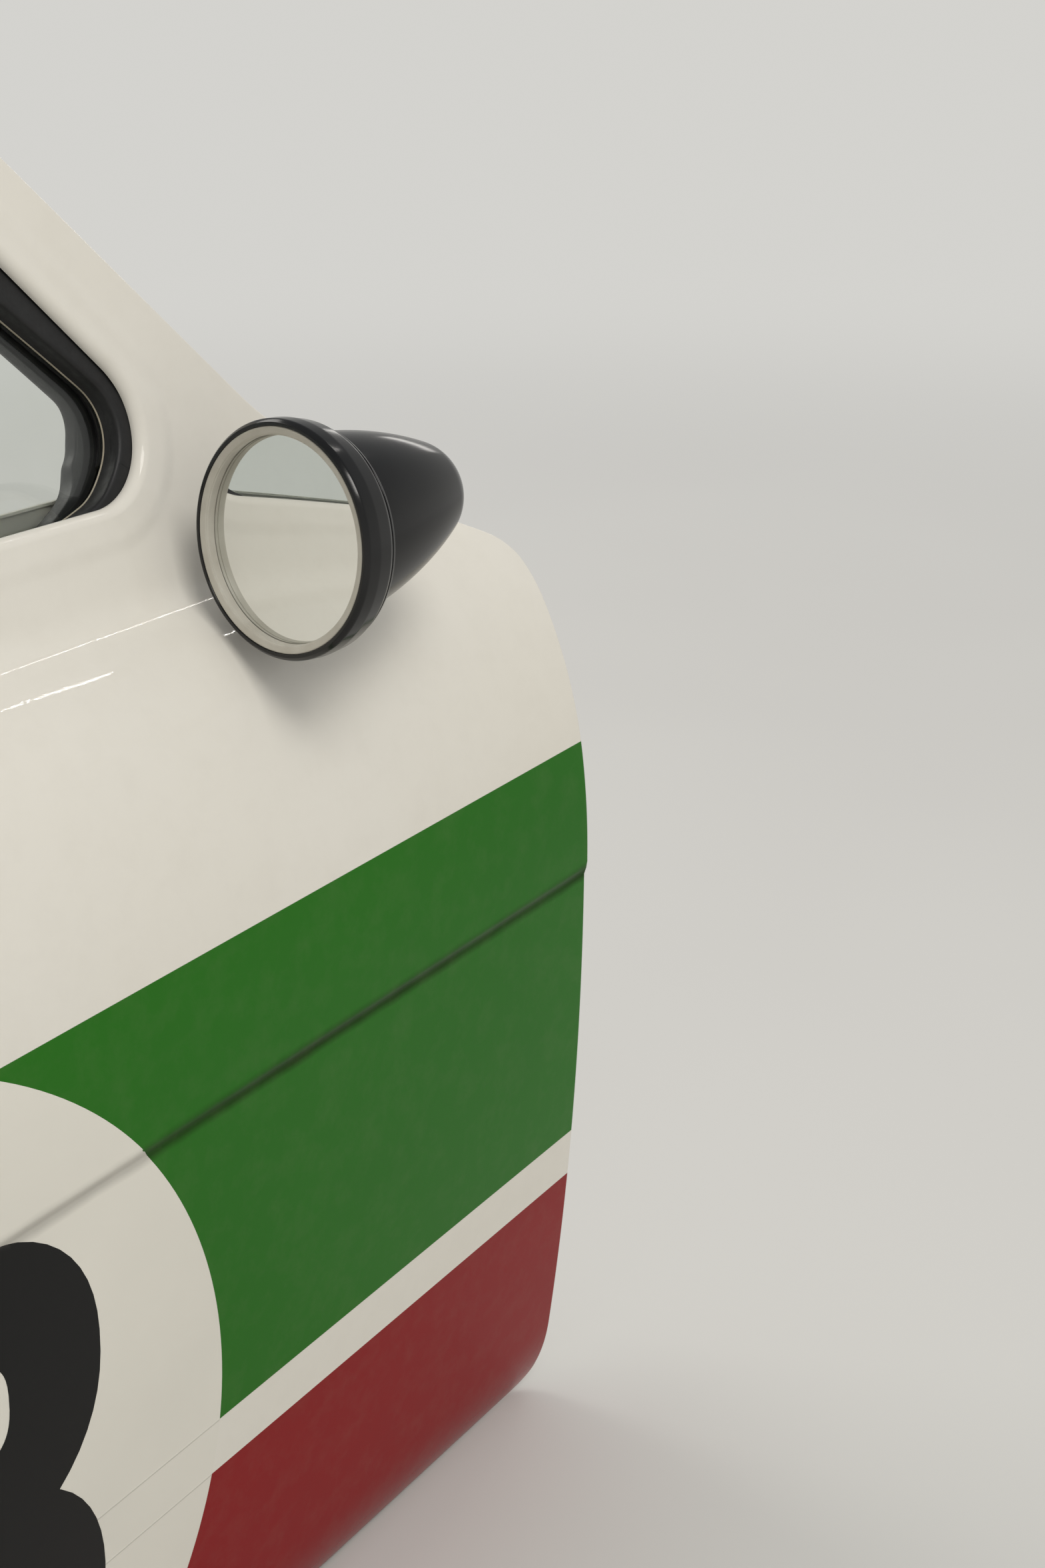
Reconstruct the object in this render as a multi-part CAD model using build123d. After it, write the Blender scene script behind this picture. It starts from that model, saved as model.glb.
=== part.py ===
from build123d import *
import os
from math import asin, cos, hypot, radians, sin, sqrt, tan

os.makedirs("parts", exist_ok=True)

# Right-hand door of a two-door rally saloon, with its bullet mirror and hinges.
# Millimetres.  While modelling, X runs forward from the front shut line, Y runs
# inboard from the outermost skin and Z runs up from the side crease's front end.
# place() moves every piece so that the origin is on the upper hinge's pillar pad.

# outline of the door seen from the side
DOOR_LEN = 1134.0
DOOR_FOOT_Z = -372.0
DOOR_FOOT_REAR_Z = -358.0
SHOULDER_Z = 174.0
SCUTTLE_X = -139.0
SCUTTLE_Z = 259.0
PILLAR_RAKE = 46.9
ROOF_Z = 660.0
ROOF_CROWN = 12.0
ROOF_DROP = 6.0
ROOF_REAR_INSET = 70.0
BELT_Z = 238.0
BELT_Y = 100.0
LEAN = 16.7
FRONT_LOW_R = 16.0
SHOULDER_R = 18.0
SCUTTLE_R = 130.0
ROOF_FRONT_R = 70.0
ROOF_REAR_R = 38.0
BELT_REAR_R = 160.0
REAR_LOW_R = 46.0

# skin: sheet, folded hem, ledge and the pressed step of the side crease
SKIN_T = 1.0
SEAT = 0.1
LEDGE_FILLET = 13.0
HEM_W = 10.0
CREASE_Z = -6.5
CREASE_STEP = 2.0
CREASE_H = 4.5
CREASE_FALL = 0.8
TAIL_RUN = 60.0
UPRIGHT_RUN = 560.0

# inner pressing
PANEL_Y = 140.0
FRAME_DEPTH = 38.5
WALL = 1.2
SHUT_SETBACK = 32.0
SHUT_REAR = 26.0
SILL_SETBACK = 26.0
UPPER_SETBACK = 13.0
PANEL_R = 24.0
DRAIN_L = 34.0
DRAIN_W = 8.0
DRAIN_SHARES = (0.15, 0.5, 0.85)
CHECK_SLOT_Z = -96.0
CHECK_SLOT_H = 40.0
CHECK_SLOT_W = 13.0
CHECK_SLOT_Y = 88.0

# window
OPEN_FRONT_X = -193.5
OPEN_RAKE = 49.6
OPEN_TOP_INSET = 42.0
OPEN_DROP = 4.0
OPEN_CROWN = 10.0
OPEN_REAR_INSET = 48.0
OPEN_REAR_LEAN = 9.5
OPEN_FRONT_R = 36.0
OPEN_TOP_FRONT_R = 40.0
OPEN_TOP_REAR_R = 34.0
OPEN_REAR_R = 30.0
REVEAL = 6.0
GLASS_IN = 16.0
GLASS_T = 4.0
SEAL_BACK = 24.9
SEAL_LAP = 5.0
SEAL_GRIP = 8.0
SEAL_WALL = 4.8
SLOT_FRONT_INSET = 48.0
SLOT_REAR_INSET = 20.0
GLASS_TAIL = 36.0
TAIL_ROOM = 4.0
WAIST_ROOM = 3.0
OUTER_WAIST = (-16.0, -5.0)
INNER_WAIST = (-8.0, 5.0)

# weatherstrip and trim card
STRIP_W = 8.0
STRIP_FROM = 3.0
STRIP_TO = 13.0
CARD_T = 5.0
CARD_MARGIN_X = 60.0
CARD_MARGIN_LOW = 18.0
CARD_MARGIN_TOP = 14.0
CARD_R = 26.0
PAD_T = 8.0
PAD_INSET = 40.0
PAD_Z = 76.0
PAD_H = 150.0
PAD_ROUND = 5.0

# hinges
PIN_X = -16.0
PIN_Y = 36.0
PIN_R = 4.0
PIN_FIT = 0.05
PIN_HEAD = 2.2
KNUCKLE_R = 7.5
UPPER_HINGE_Z = 60.0
LOWER_HINGE_Z = -258.0
LEAF_T = 6.0
NECK_Y = 66.0
PAD_FACE_X = 13.0
PILLAR_PAD_T = 5.0
PILLAR_PAD_W = 46.0
PILLAR_PAD_H = 62.0
PILLAR_PAD_R = 8.0
PILLAR_PAD_Y = 90.0
PAD_BOLT_Y = 98.0
PAD_BOLT_R = 4.5
PAD_BOLT_GAP = 36.0
KNUCKLE_H = 24.0
EAR_H = 14.0
EAR_GAP = 0.4
DOOR_PLATE_T = 5.0
DOOR_PLATE_Y = 82.0
DOOR_PLATE_W = 60.0
ARM_Y = 66.0

# mirror: the place and aim of its glass, the shell, the ball and the foot
GLASS_C = (-228.0, 20.0, 228.0)
GLASS_AZIMUTH = -5.5
GLASS_PITCH = -4.5
NOSE_AZIMUTH = -8.4
NOSE_PITCH = 4.7
MIRROR_GLASS_R = 47.6
MIRROR_GLASS_T = 2.2
BEZEL_W = 3.5
BEZEL_LAP = 0.6
BEZEL_FRONT = 5.9
BEZEL_BACK = 4.3
BEZEL_LEDGE = 9.0
RIM_WALL = 3.7
RIM_FRONT = 6.2
RIM_BACK = 16.2
COLLAR_INSET = 0.2
COLLAR_END = 13.0
SHELL_INSET = 3.0
SHELL_L = 103.2
SHELL_T = 2.2
NOSE_R = 27.0
BALL = (-172.0, 26.0, 225.0)
BALL_R = 9.0
BALL_FIT = 0.05
CUP_T = 3.0
CUP_OPEN = 5.0
BOSS_WALL = 5.0
PAN_ROOM = 13.0
STEM_R = 5.0
STEM_ROOM = 2.6
STEM_FLARE = 3.5
FOOT_X = -165.0
FOOT_Z = 213.0
FOOT_W = 44.0
FOOT_H = 30.0
FOOT_R = 12.0
FOOT_THICK = 9.0
FOOT_STEP = 4.0
GASKET_T = 1.5
GASKET_LAP = 1.5

# outer handle, lock and latch
HANDLE_IN = 130.0
HANDLE_Z = 70.0
HANDLE_L = 150.0
HANDLE_H = 20.0
HANDLE_T = 9.0
HANDLE_OUT = 30.0
HANDLE_POST_W = 22.0
HANDLE_POST_H = 17.0
HANDLE_POST_IN = 14.0
HANDLE_ROUND = 3.0
LOCK_IN = 74.0
LOCK_Z = 28.0
LOCK_R = 10.5
LOCK_OUT = 6.0
LATCH_Z = -20.0
LATCH_Y = 94.0
LATCH_W = 48.0
LATCH_H = 90.0
LATCH_T = 3.0
JAW_W = 30.0
JAW_H = 52.0
JAW_OUT = 15.0
MOUTH_H = 14.0
MOUTH_DEPTH = 22.0

# inner handle, release and winder
GRAB_X = -640.0
GRAB_Z = 92.0
GRAB_L = 210.0
GRAB_H = 26.0
GRAB_T = 14.0
GRAB_GAP = 32.0
GRAB_POST_W = 30.0
RELEASE_X = -330.0
RELEASE_Z = 110.0
RELEASE_W = 96.0
RELEASE_H = 40.0
RELEASE_T = 5.0
RELEASE_FLOOR = 2.5
LEVER_L = 70.0
LEVER_T = 6.0
LEVER_GAP = 8.0
LEVER_POST_R = 6.0
WINDER_X = -250.0
WINDER_Z = -70.0
WINDER_L = 92.0
WINDER_BOSS_R = 17.0
WINDER_TIP_R = 10.0
BOSS_H = 16.0
CRANK_T = 7.0
CRANK_OUT = 13.0
KNOB_R = 12.0
KNOB_H = 27.0

# worked out from the sizes above
ROOF_REAR_X = -(DOOR_LEN - ROOF_REAR_INSET)
OPEN_REAR_X = -(DOOR_LEN - OPEN_REAR_INSET)
OPEN_TOP_Z = ROOF_Z - OPEN_TOP_INSET
SHUT_X = -SHUT_SETBACK
SHUT_REAR_X = -(DOOR_LEN - SHUT_REAR)
SILL_Z = DOOR_FOOT_REAR_Z + SILL_SETBACK
CARD_Y = PANEL_Y + SEAT
PAD_Y = PANEL_Y + CARD_T + PAD_T + SEAT
RIM_BORE = MIRROR_GLASS_R + BEZEL_W
RIM_R = RIM_BORE + RIM_WALL
COLLAR_R = MIRROR_GLASS_R - COLLAR_INSET
SHELL_R = COLLAR_R - SHELL_INSET
CUP_R = BALL_R + CUP_T
MARGIN = 60.0
REACH = 3.0 * DOOR_LEN

# tangent arcs of the skin section: radius, turn in degrees, away from the crease
UPPER_ARCS = (
    (454.0, 7.6),
    (266.0, 19.0),
    (86.0, 41.0),
)
LOWER_ARCS = (
    (2300.0, 8.0),
    (120.0, 31.0),
)


def place(shape):
    return Pos(-PAD_FACE_X, -PAD_BOLT_Y, -UPPER_HINGE_Z) * shape


def save(name, shape):
    solids = shape.solids()
    assert len(solids) == 1, (name, len(solids))
    export_step(place(solids[0]), "parts/" + name + ".step")


def run(point, heading, length):
    """A straight edge of the section and its far end."""
    a = radians(heading)
    end = (point[0] + length * cos(a), point[1] + length * sin(a))
    return Line(point, end), end


def bend(point, heading, radius, turn):
    """An arc that leaves point along heading and turns by turn degrees."""
    way = 1.0 if turn > 0.0 else -1.0
    a = radians(heading)
    m = radians(heading + turn / 2.0)
    b = radians(heading + turn)
    cy = point[0] - way * radius * sin(a)
    cz = point[1] + way * radius * cos(a)
    mid = (cy + way * radius * sin(m), cz - way * radius * cos(m))
    end = (cy + way * radius * sin(b), cz - way * radius * cos(b))
    return ThreePointArc(point, mid, end), end


def section_edges():
    """The skin's section from below the sill, past the shoulder ledge, to above the roof rail."""
    down = []
    heading = -90.0
    point = (0.0, 0.0)
    for radius, turn in LOWER_ARCS:
        edge, point = bend(point, heading, radius, turn)
        down.append(edge)
        heading += turn
    edge, low = run(point, heading, TAIL_RUN)
    down.append(edge)
    up = []
    heading = 90.0
    point = (0.0, 0.0)
    for radius, turn in UPPER_ARCS:
        edge, point = bend(point, heading, radius, -turn)
        up.append(edge)
        heading -= turn
    upright = 90.0 - LEAN
    rise = upright - heading
    foot_y = BELT_Y - (BELT_Z - point[1]) * tan(radians(LEAN))
    ledge = (foot_y - point[0]) * cos(radians(LEAN)) / sin(radians(rise))
    back = LEDGE_FILLET * tan(radians(rise / 2.0))
    edge, point = run(point, heading, ledge - back)
    up.append(edge)
    edge, point = bend(point, heading, LEDGE_FILLET, rise)
    up.append(edge)
    edge, high = run(point, upright, UPRIGHT_RUN)
    up.append(edge)
    return down, up, low, high


def long_prism(face):
    """A section (Y, Z) drawn out over the whole door and a margin at each end."""
    start = -DOOR_LEN - MARGIN
    return Pos(start, 0, 0) * extrude(Plane.YZ * face, amount=DOOR_LEN + 2.0 * MARGIN)


def smooth_region(depth):
    """Everything inboard of the uncreased outer face moved inboard by depth."""
    down, up, low, high = section_edges()
    far = REACH
    back = [Line(high, (far, high[1])), Line((far, high[1]), (far, low[1])), Line((far, low[1]), low)]
    face = make_face(Curve() + down + up + back)
    if depth != 0.0:
        face = offset(face, amount=-depth, kind=Kind.INTERSECTION)
    return long_prism(face)


def above_crease(depth):
    """The half space over the crease's facet, which faces outboard and down."""
    shift = depth * hypot(CREASE_STEP, CREASE_H) / CREASE_H
    tall = REACH / 2.0
    wide = tall * CREASE_STEP / CREASE_H
    wedge = Polyline((shift - wide, tall), (shift + wide, -tall), (shift + wide, tall), close=True)
    prism = extrude(Plane.YZ * make_face(wedge), amount=REACH)
    return Pos(0, 0, CREASE_Z) * Rot(0, -CREASE_FALL, 0) * Pos(-REACH / 2.0, 0, 0) * prism


def region(depth):
    """Everything inboard of the outer face moved inboard by depth: the face steps in under the crease."""
    whole = smooth_region(depth)
    return (Pos(0, CREASE_STEP, 0) * whole) + (whole & above_crease(depth))


def band(outer, inner):
    return region(outer) - region(inner)


def side(face, y0=-MARGIN, y1=DOOR_LEN):
    """A side-view face (X, Z) as a prism along Y."""
    return Pos(0, y0, 0) * extrude(Plane.XZ * face, amount=-(y1 - y0))


def block(x0, x1, y0, y1, z0, z1):
    return Pos((x0 + x1) / 2, (y0 + y1) / 2, (z0 + z1) / 2) * Box(x1 - x0, y1 - y0, z1 - z0)


def rounded(face, corners):
    """Fillets a face's corners: each row is a corner's x, z and radius."""
    for x, z, radius in corners:
        near = face.vertices().sort_by(lambda v: (v.X - x) ** 2 + (v.Y - z) ** 2)[0]
        face = fillet(near, radius)
    return face


def grown(face, amount):
    kind = Kind.ARC if amount > 0 else Kind.INTERSECTION
    return offset(face, amount=amount, kind=kind)


def lean_y(z):
    return BELT_Y + (z - BELT_Z) * tan(radians(LEAN))


def outline():
    """The door's outer edge seen from the side."""
    pillar_top = SCUTTLE_X - (ROOF_Z - SCUTTLE_Z) / tan(radians(PILLAR_RAKE))
    rear_z = ROOF_Z - ROOF_DROP
    front_low = (0.0, DOOR_FOOT_Z)
    shoulder = (0.0, SHOULDER_Z)
    scuttle = (SCUTTLE_X, SCUTTLE_Z)
    roof_front = (pillar_top, ROOF_Z)
    roof_rear = (ROOF_REAR_X, rear_z)
    belt_rear = (-DOOR_LEN, BELT_Z)
    rear_low = (-DOOR_LEN, DOOR_FOOT_REAR_Z)
    crown = ((pillar_top + ROOF_REAR_X) / 2.0, (ROOF_Z + rear_z) / 2.0 + ROOF_CROWN)
    edges = [
        Line(front_low, shoulder),
        Line(shoulder, scuttle),
        Line(scuttle, roof_front),
        ThreePointArc(roof_front, crown, roof_rear),
        Line(roof_rear, belt_rear),
        Line(belt_rear, rear_low),
        Line(rear_low, front_low),
    ]
    corners = (
        (front_low[0], front_low[1], FRONT_LOW_R),
        (shoulder[0], shoulder[1], SHOULDER_R),
        (scuttle[0], scuttle[1], SCUTTLE_R),
        (roof_front[0], roof_front[1], ROOF_FRONT_R),
        (roof_rear[0], roof_rear[1], ROOF_REAR_R),
        (belt_rear[0], belt_rear[1], BELT_REAR_R),
        (rear_low[0], rear_low[1], REAR_LOW_R),
    )
    return rounded(make_face(Curve() + edges), corners)


def opening():
    """The window opening seen from the side."""
    rise = OPEN_TOP_Z - BELT_Z
    low_front = (OPEN_FRONT_X, BELT_Z)
    top_front = (OPEN_FRONT_X - rise / tan(radians(OPEN_RAKE)), OPEN_TOP_Z)
    top_rear = (OPEN_REAR_X + rise * tan(radians(OPEN_REAR_LEAN)), OPEN_TOP_Z - OPEN_DROP)
    low_rear = (OPEN_REAR_X, BELT_Z)
    crown_z = (top_front[1] + top_rear[1]) / 2.0 + OPEN_CROWN
    crown = ((top_front[0] + top_rear[0]) / 2.0, crown_z)
    edges = [
        Line(low_front, top_front),
        ThreePointArc(top_front, crown, top_rear),
        Line(top_rear, low_rear),
        Line(low_rear, low_front),
    ]
    corners = (
        (low_front[0], low_front[1], OPEN_FRONT_R),
        (top_front[0], top_front[1], OPEN_TOP_FRONT_R),
        (top_rear[0], top_rear[1], OPEN_TOP_REAR_R),
        (low_rear[0], low_rear[1], OPEN_REAR_R),
    )
    return rounded(make_face(Curve() + edges), corners)


def over(z):
    """The side view above a height."""
    return Pos(-DOOR_LEN / 2.0, z + REACH / 2.0) * Rectangle(REACH, REACH)


def shut_outline():
    """The inner pressing's outer walls seen from the side."""
    width = DOOR_LEN - SHUT_SETBACK - SHUT_REAR
    keep = Pos((SHUT_X + SHUT_REAR_X) / 2.0, 0) * Rectangle(width, REACH)
    face = grown(outline(), -UPPER_SETBACK) & keep & over(SILL_Z)
    corners = (
        (SHUT_X, SILL_Z, PANEL_R),
        (SHUT_REAR_X, SILL_Z, PANEL_R),
    )
    return rounded(face, corners)


def inner_space(depth):
    """Everything outboard of the inner panel's face moved outboard by depth."""
    low = -REACH
    high = REACH
    top_y = PANEL_Y + tan(radians(LEAN)) * (high - BELT_Z)
    corners = ((low, low), (PANEL_Y, low), (PANEL_Y, BELT_Z), (top_y, high), (low, high))
    section = Polyline(*corners, close=True)
    face = make_face(section)
    if depth != 0.0:
        face = offset(face, amount=-depth, kind=Kind.INTERSECTION)
    return long_prism(face)


def lean_slab(d0, d1):
    """A flat slab parallel to the window, between two depths inboard of the skin."""
    tilt = radians(LEAN)
    corners = []
    for d, s in ((d0, -MARGIN), (d0, UPRIGHT_RUN), (d1, UPRIGHT_RUN), (d1, -MARGIN)):
        y = BELT_Y + s * sin(tilt) + d * cos(tilt)
        z = BELT_Z + s * cos(tilt) - d * sin(tilt)
        corners.append((y, z))
    return long_prism(make_face(Polyline(*corners, close=True)))


def slot_face(inset, low, high):
    """The belt slot seen from the side, between two heights over the belt line."""
    front = OPEN_FRONT_X - SLOT_FRONT_INSET - inset
    rear = OPEN_REAR_X + SLOT_REAR_INSET + inset
    return Pos((front + rear) / 2.0, BELT_Z + (low + high) / 2.0) * Rectangle(front - rear, high - low)


def door_skin():
    """The outer panel: sheet, folded hem all round and the reveal flange of the window."""
    edge = outline()
    hole = opening()
    plate = band(0.0, SKIN_T) & side(edge - hole)
    pinch = WALL + 2.0 * SEAT
    hem = band(0.0, 2.0 * SKIN_T + pinch) & side(edge - grown(edge, -HEM_W))
    hem -= band(SKIN_T, SKIN_T + pinch) & side(grown(edge, -SKIN_T))
    reveal = band(0.0, REVEAL) & side(grown(hole, SKIN_T) - hole)
    return plate + hem + reveal


def inner_pressing():
    """The pan behind the skin: shut faces, inner panel, window frame and the flange in the hem."""
    walls = shut_outline()
    hole_low = BELT_Z - FRAME_DEPTH * sin(radians(LEAN)) / 4.0
    hole = grown(opening(), SEAL_GRIP + SEAL_WALL + SEAT) & over(hole_low)
    start = SKIN_T + SEAT
    pan = region(start) & inner_space(0.0) & side(walls - hole)
    pan -= inner_space(WALL) & side(grown(walls, -WALL) - grown(hole, WALL))
    flange_face = grown(outline(), -SKIN_T - SEAT) - grown(walls, -WALL)
    pan += band(start, start + WALL) & side(flange_face)
    pan -= lean_slab(0.0, FRAME_DEPTH - WALL) & side(slot_face(0.0, -GLASS_TAIL - STRIP_W, STRIP_W))
    lip_face = grown(hole, WALL / 2.0) - grown(opening(), -SEAL_LAP / 2.0)
    lip = band(SEAL_BACK + SEAT, SEAL_BACK + SEAT + WALL) & side(lip_face)
    lip &= side(over(BELT_Z + STRIP_W))
    return pan + lip - drain_slots() - check_slot()


def drain_slots():
    """Slots in the floor of the pan, spread along the sill."""
    slots = []
    for share in DRAIN_SHARES:
        x = SHUT_X + share * (SHUT_REAR_X - SHUT_X)
        slot = extrude(SlotOverall(DRAIN_L, DRAIN_W), amount=4.0 * WALL, both=True)
        slots.append(Pos(x, PANEL_Y - 2.0 * DRAIN_W, SILL_Z) * slot)
    return slots


def check_slot():
    """The door check's slot in the front shut face."""
    slot = RectangleRounded(CHECK_SLOT_W, CHECK_SLOT_H, CHECK_SLOT_W / 2.0 - SEAT)
    return Pos(SHUT_X, CHECK_SLOT_Y, CHECK_SLOT_Z) * extrude(Plane.YZ * slot, amount=4.0 * WALL, both=True)


def window_glass():
    pane = (grown(opening(), SEAL_GRIP) & over(BELT_Z)) + slot_face(TAIL_ROOM, -GLASS_TAIL, TAIL_ROOM / 2.0)
    return lean_slab(GLASS_IN, GLASS_IN + GLASS_T) & side(pane)


def window_seal():
    """A rubber channel that covers the reveal and grips the glass on three sides."""
    ring = grown(opening(), SEAL_GRIP + SEAL_WALL) - grown(opening(), -SEAL_LAP)
    body = band(REVEAL + SEAT, SEAL_BACK) & side(ring)
    body -= band(GLASS_IN - SEAT, GLASS_IN + GLASS_T + SEAT) & side(grown(opening(), SEAL_GRIP + SEAT))
    return body & side(over(BELT_Z + STRIP_W + TAIL_ROOM / 2.0))


def waist_strip(d0, d1, heights):
    """A strip along the belt slot, between two depths and two heights over the belt line."""
    return lean_slab(d0, d1) & side(slot_face(WAIST_ROOM, heights[0], heights[1]))


def weatherstrip():
    walls = shut_outline()
    ring = grown(walls, STRIP_W) - grown(walls, SEAT)
    return (inner_space(STRIP_FROM) - inner_space(STRIP_TO)) & side(ring)


def door_card():
    """The trim card with its raised and rounded pad."""
    low = SILL_Z + CARD_MARGIN_LOW
    high = BELT_Z - CARD_MARGIN_TOP
    width = DOOR_LEN - 2.0 * CARD_MARGIN_X
    middle = -DOOR_LEN / 2.0
    card_face = Pos(middle, (low + high) / 2.0) * RectangleRounded(width, high - low, CARD_R)
    card = side(card_face, CARD_Y, CARD_Y + CARD_T)
    card = fillet(card.faces().sort_by(Axis.Y)[-1].edges(), CARD_T / 3.0)
    pad_face = Pos(middle, PAD_Z) * RectangleRounded(width - 2.0 * PAD_INSET, PAD_H, CARD_R)
    pad = side(pad_face, CARD_Y + CARD_T / 2.0, PAD_Y - SEAT)
    pad = fillet(pad.faces().sort_by(Axis.Y)[-1].edges(), PAD_ROUND)
    return card + pad


def knuckle(z0, z1):
    return Pos(PIN_X, PIN_Y, (z0 + z1) / 2.0) * Cylinder(KNUCKLE_R, z1 - z0)


def pin_hole(z, radius):
    return Pos(PIN_X, PIN_Y, z) * Cylinder(radius, 4.0 * (KNUCKLE_H + EAR_H))


def yz_plate(x, thickness, y, z, face):
    """A flat plate that faces forward, from x - thickness to x."""
    return Pos(x - thickness, y, z) * extrude(Plane.YZ * face, amount=thickness)


def pillar_leaf(z):
    """The fixed leaf: a knuckle, a bent neck and the pad that is screwed to the pillar."""
    bottom = z - KNUCKLE_H / 2.0
    half = LEAF_T / 2.0
    back = PAD_FACE_X - PILLAR_PAD_T / 2.0
    neck = Polyline(
        (PIN_X - half, PIN_Y),
        (PIN_X - half, NECK_Y + LEAF_T),
        (back, NECK_Y + LEAF_T),
        (back, NECK_Y),
        (PIN_X + half, NECK_Y),
        (PIN_X + half, PIN_Y),
        close=True,
    )
    corners = (
        (PIN_X - half, NECK_Y + LEAF_T, 1.5 * LEAF_T),
        (PIN_X + half, NECK_Y, LEAF_T / 2.0),
    )
    leaf = Pos(0, 0, bottom) * extrude(rounded(make_face(neck), corners), amount=KNUCKLE_H)
    leaf += knuckle(bottom, bottom + KNUCKLE_H)
    pad = RectangleRounded(PILLAR_PAD_W, PILLAR_PAD_H, PILLAR_PAD_R)
    leaf += yz_plate(PAD_FACE_X, PILLAR_PAD_T, PILLAR_PAD_Y, z, pad)
    leaf -= pin_hole(z, PIN_R + SEAT / 5.0)
    for dz in (-PAD_BOLT_GAP / 2.0, PAD_BOLT_GAP / 2.0):
        leaf -= yz_plate(PAD_FACE_X + LEAF_T, 4.0 * LEAF_T, PAD_BOLT_Y, z + dz, Circle(PAD_BOLT_R))
    return leaf


def hinge_pin(z):
    length = KNUCKLE_H + 2.0 * (EAR_GAP + EAR_H + PIN_HEAD)
    shaft = Pos(PIN_X, PIN_Y, z) * Cylinder(PIN_R, length)
    shaft = chamfer(shaft.edges().sort_by(Axis.Z)[0], PIN_R / 5.0)
    head = Pos(PIN_X, PIN_Y, z + (length + PIN_HEAD) / 2.0) * Cylinder(PIN_R + PIN_HEAD, PIN_HEAD)
    head = fillet(head.edges().sort_by(Axis.Z)[-1], PIN_HEAD / 2.0)
    return shaft + head


def door_leaf(z):
    """The moving leaf: a plate on the shut face and two ears round the pin."""
    face_x = SHUT_X + SEAT
    front_x = face_x + DOOR_PLATE_T
    half = KNUCKLE_H / 2.0 + EAR_GAP
    plate = RectangleRounded(DOOR_PLATE_W, 2.0 * (half + EAR_H), PILLAR_PAD_R)
    leaf = yz_plate(front_x, DOOR_PLATE_T, DOOR_PLATE_Y, z, plate)
    arm = make_face(
        Polyline(
            (PIN_X, PIN_Y - KNUCKLE_R),
            (PIN_X, PIN_Y + KNUCKLE_R),
            (front_x, ARM_Y),
            (face_x, ARM_Y),
            (face_x, PIN_Y),
            close=True,
        )
    )
    for z0 in (z - half - EAR_H, z + half):
        leaf += Pos(0, 0, z0) * extrude(arm, amount=EAR_H)
        leaf += knuckle(z0, z0 + EAR_H)
    leaf -= pin_hole(z, PIN_R + PIN_FIT)
    return leaf - block(front_x, MARGIN, 0.0, REACH, z - half, z + half)


def outer_handle():
    """A pull handle: a rounded bar on two posts that end on the skin."""
    x = -DOOR_LEN + HANDLE_IN
    bar = side(Pos(x, HANDLE_Z) * SlotOverall(HANDLE_L, HANDLE_H), -HANDLE_OUT, -HANDLE_OUT + HANDLE_T)
    shape = fillet(bar.edges(), HANDLE_ROUND)
    reach = HANDLE_L / 2.0 - HANDLE_POST_IN
    for dx in (-reach, reach):
        foot = Pos(x + dx, HANDLE_Z) * RectangleRounded(HANDLE_POST_W, HANDLE_POST_H, HANDLE_POST_H / 3.0)
        shape += side(foot, -HANDLE_OUT + HANDLE_T / 3.0, MARGIN)
    return shape - region(-SEAT)


def lock_barrel():
    x = -DOOR_LEN + LOCK_IN
    barrel = side(Pos(x, LOCK_Z) * Circle(LOCK_R), -LOCK_OUT, MARGIN)
    barrel = fillet(barrel.edges().sort_by(Axis.Y)[0], LOCK_OUT / 4.0)
    slot = side(Pos(x, LOCK_Z) * Rectangle(LOCK_R / 5.0, LOCK_R), -2.0 * LOCK_OUT, -0.75 * LOCK_OUT)
    return barrel - region(-SEAT) - slot


def door_latch():
    """The latch on the rear shut face: a plate and a jaw whose mouth takes the striker pin."""
    face_x = SHUT_REAR_X - SEAT
    plate = yz_plate(face_x, LATCH_T, LATCH_Y, LATCH_Z, RectangleRounded(LATCH_W, LATCH_H, PILLAR_PAD_R))
    half = LATCH_T / 2.0
    block_face = RectangleRounded(JAW_W, JAW_H, JAW_W / 5.0)
    jaw = yz_plate(face_x - half, JAW_OUT - half, LATCH_Y, LATCH_Z, block_face)
    slot = Rectangle(2.0 * MOUTH_DEPTH, MOUTH_H)
    mouth = yz_plate(face_x - LATCH_T - SEAT, JAW_OUT, LATCH_Y + JAW_W / 2.0, LATCH_Z, slot)
    return plate + jaw - mouth


def grab_handle():
    """A padded bar on two feet that stand on the card's pad."""
    bar_y = PAD_Y + GRAB_GAP
    bar = side(Pos(GRAB_X, GRAB_Z) * SlotOverall(GRAB_L, GRAB_H), bar_y, bar_y + GRAB_T)
    shape = fillet(bar.edges(), GRAB_T / 3.0)
    reach = GRAB_L / 2.0 - 0.6 * GRAB_POST_W
    for dx in (-reach, reach):
        foot = Pos(GRAB_X + dx, GRAB_Z) * RectangleRounded(GRAB_POST_W, 0.8 * GRAB_H, GRAB_H / 4.0)
        shape += side(foot, PAD_Y, bar_y + GRAB_T / 3.0)
    return shape


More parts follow.
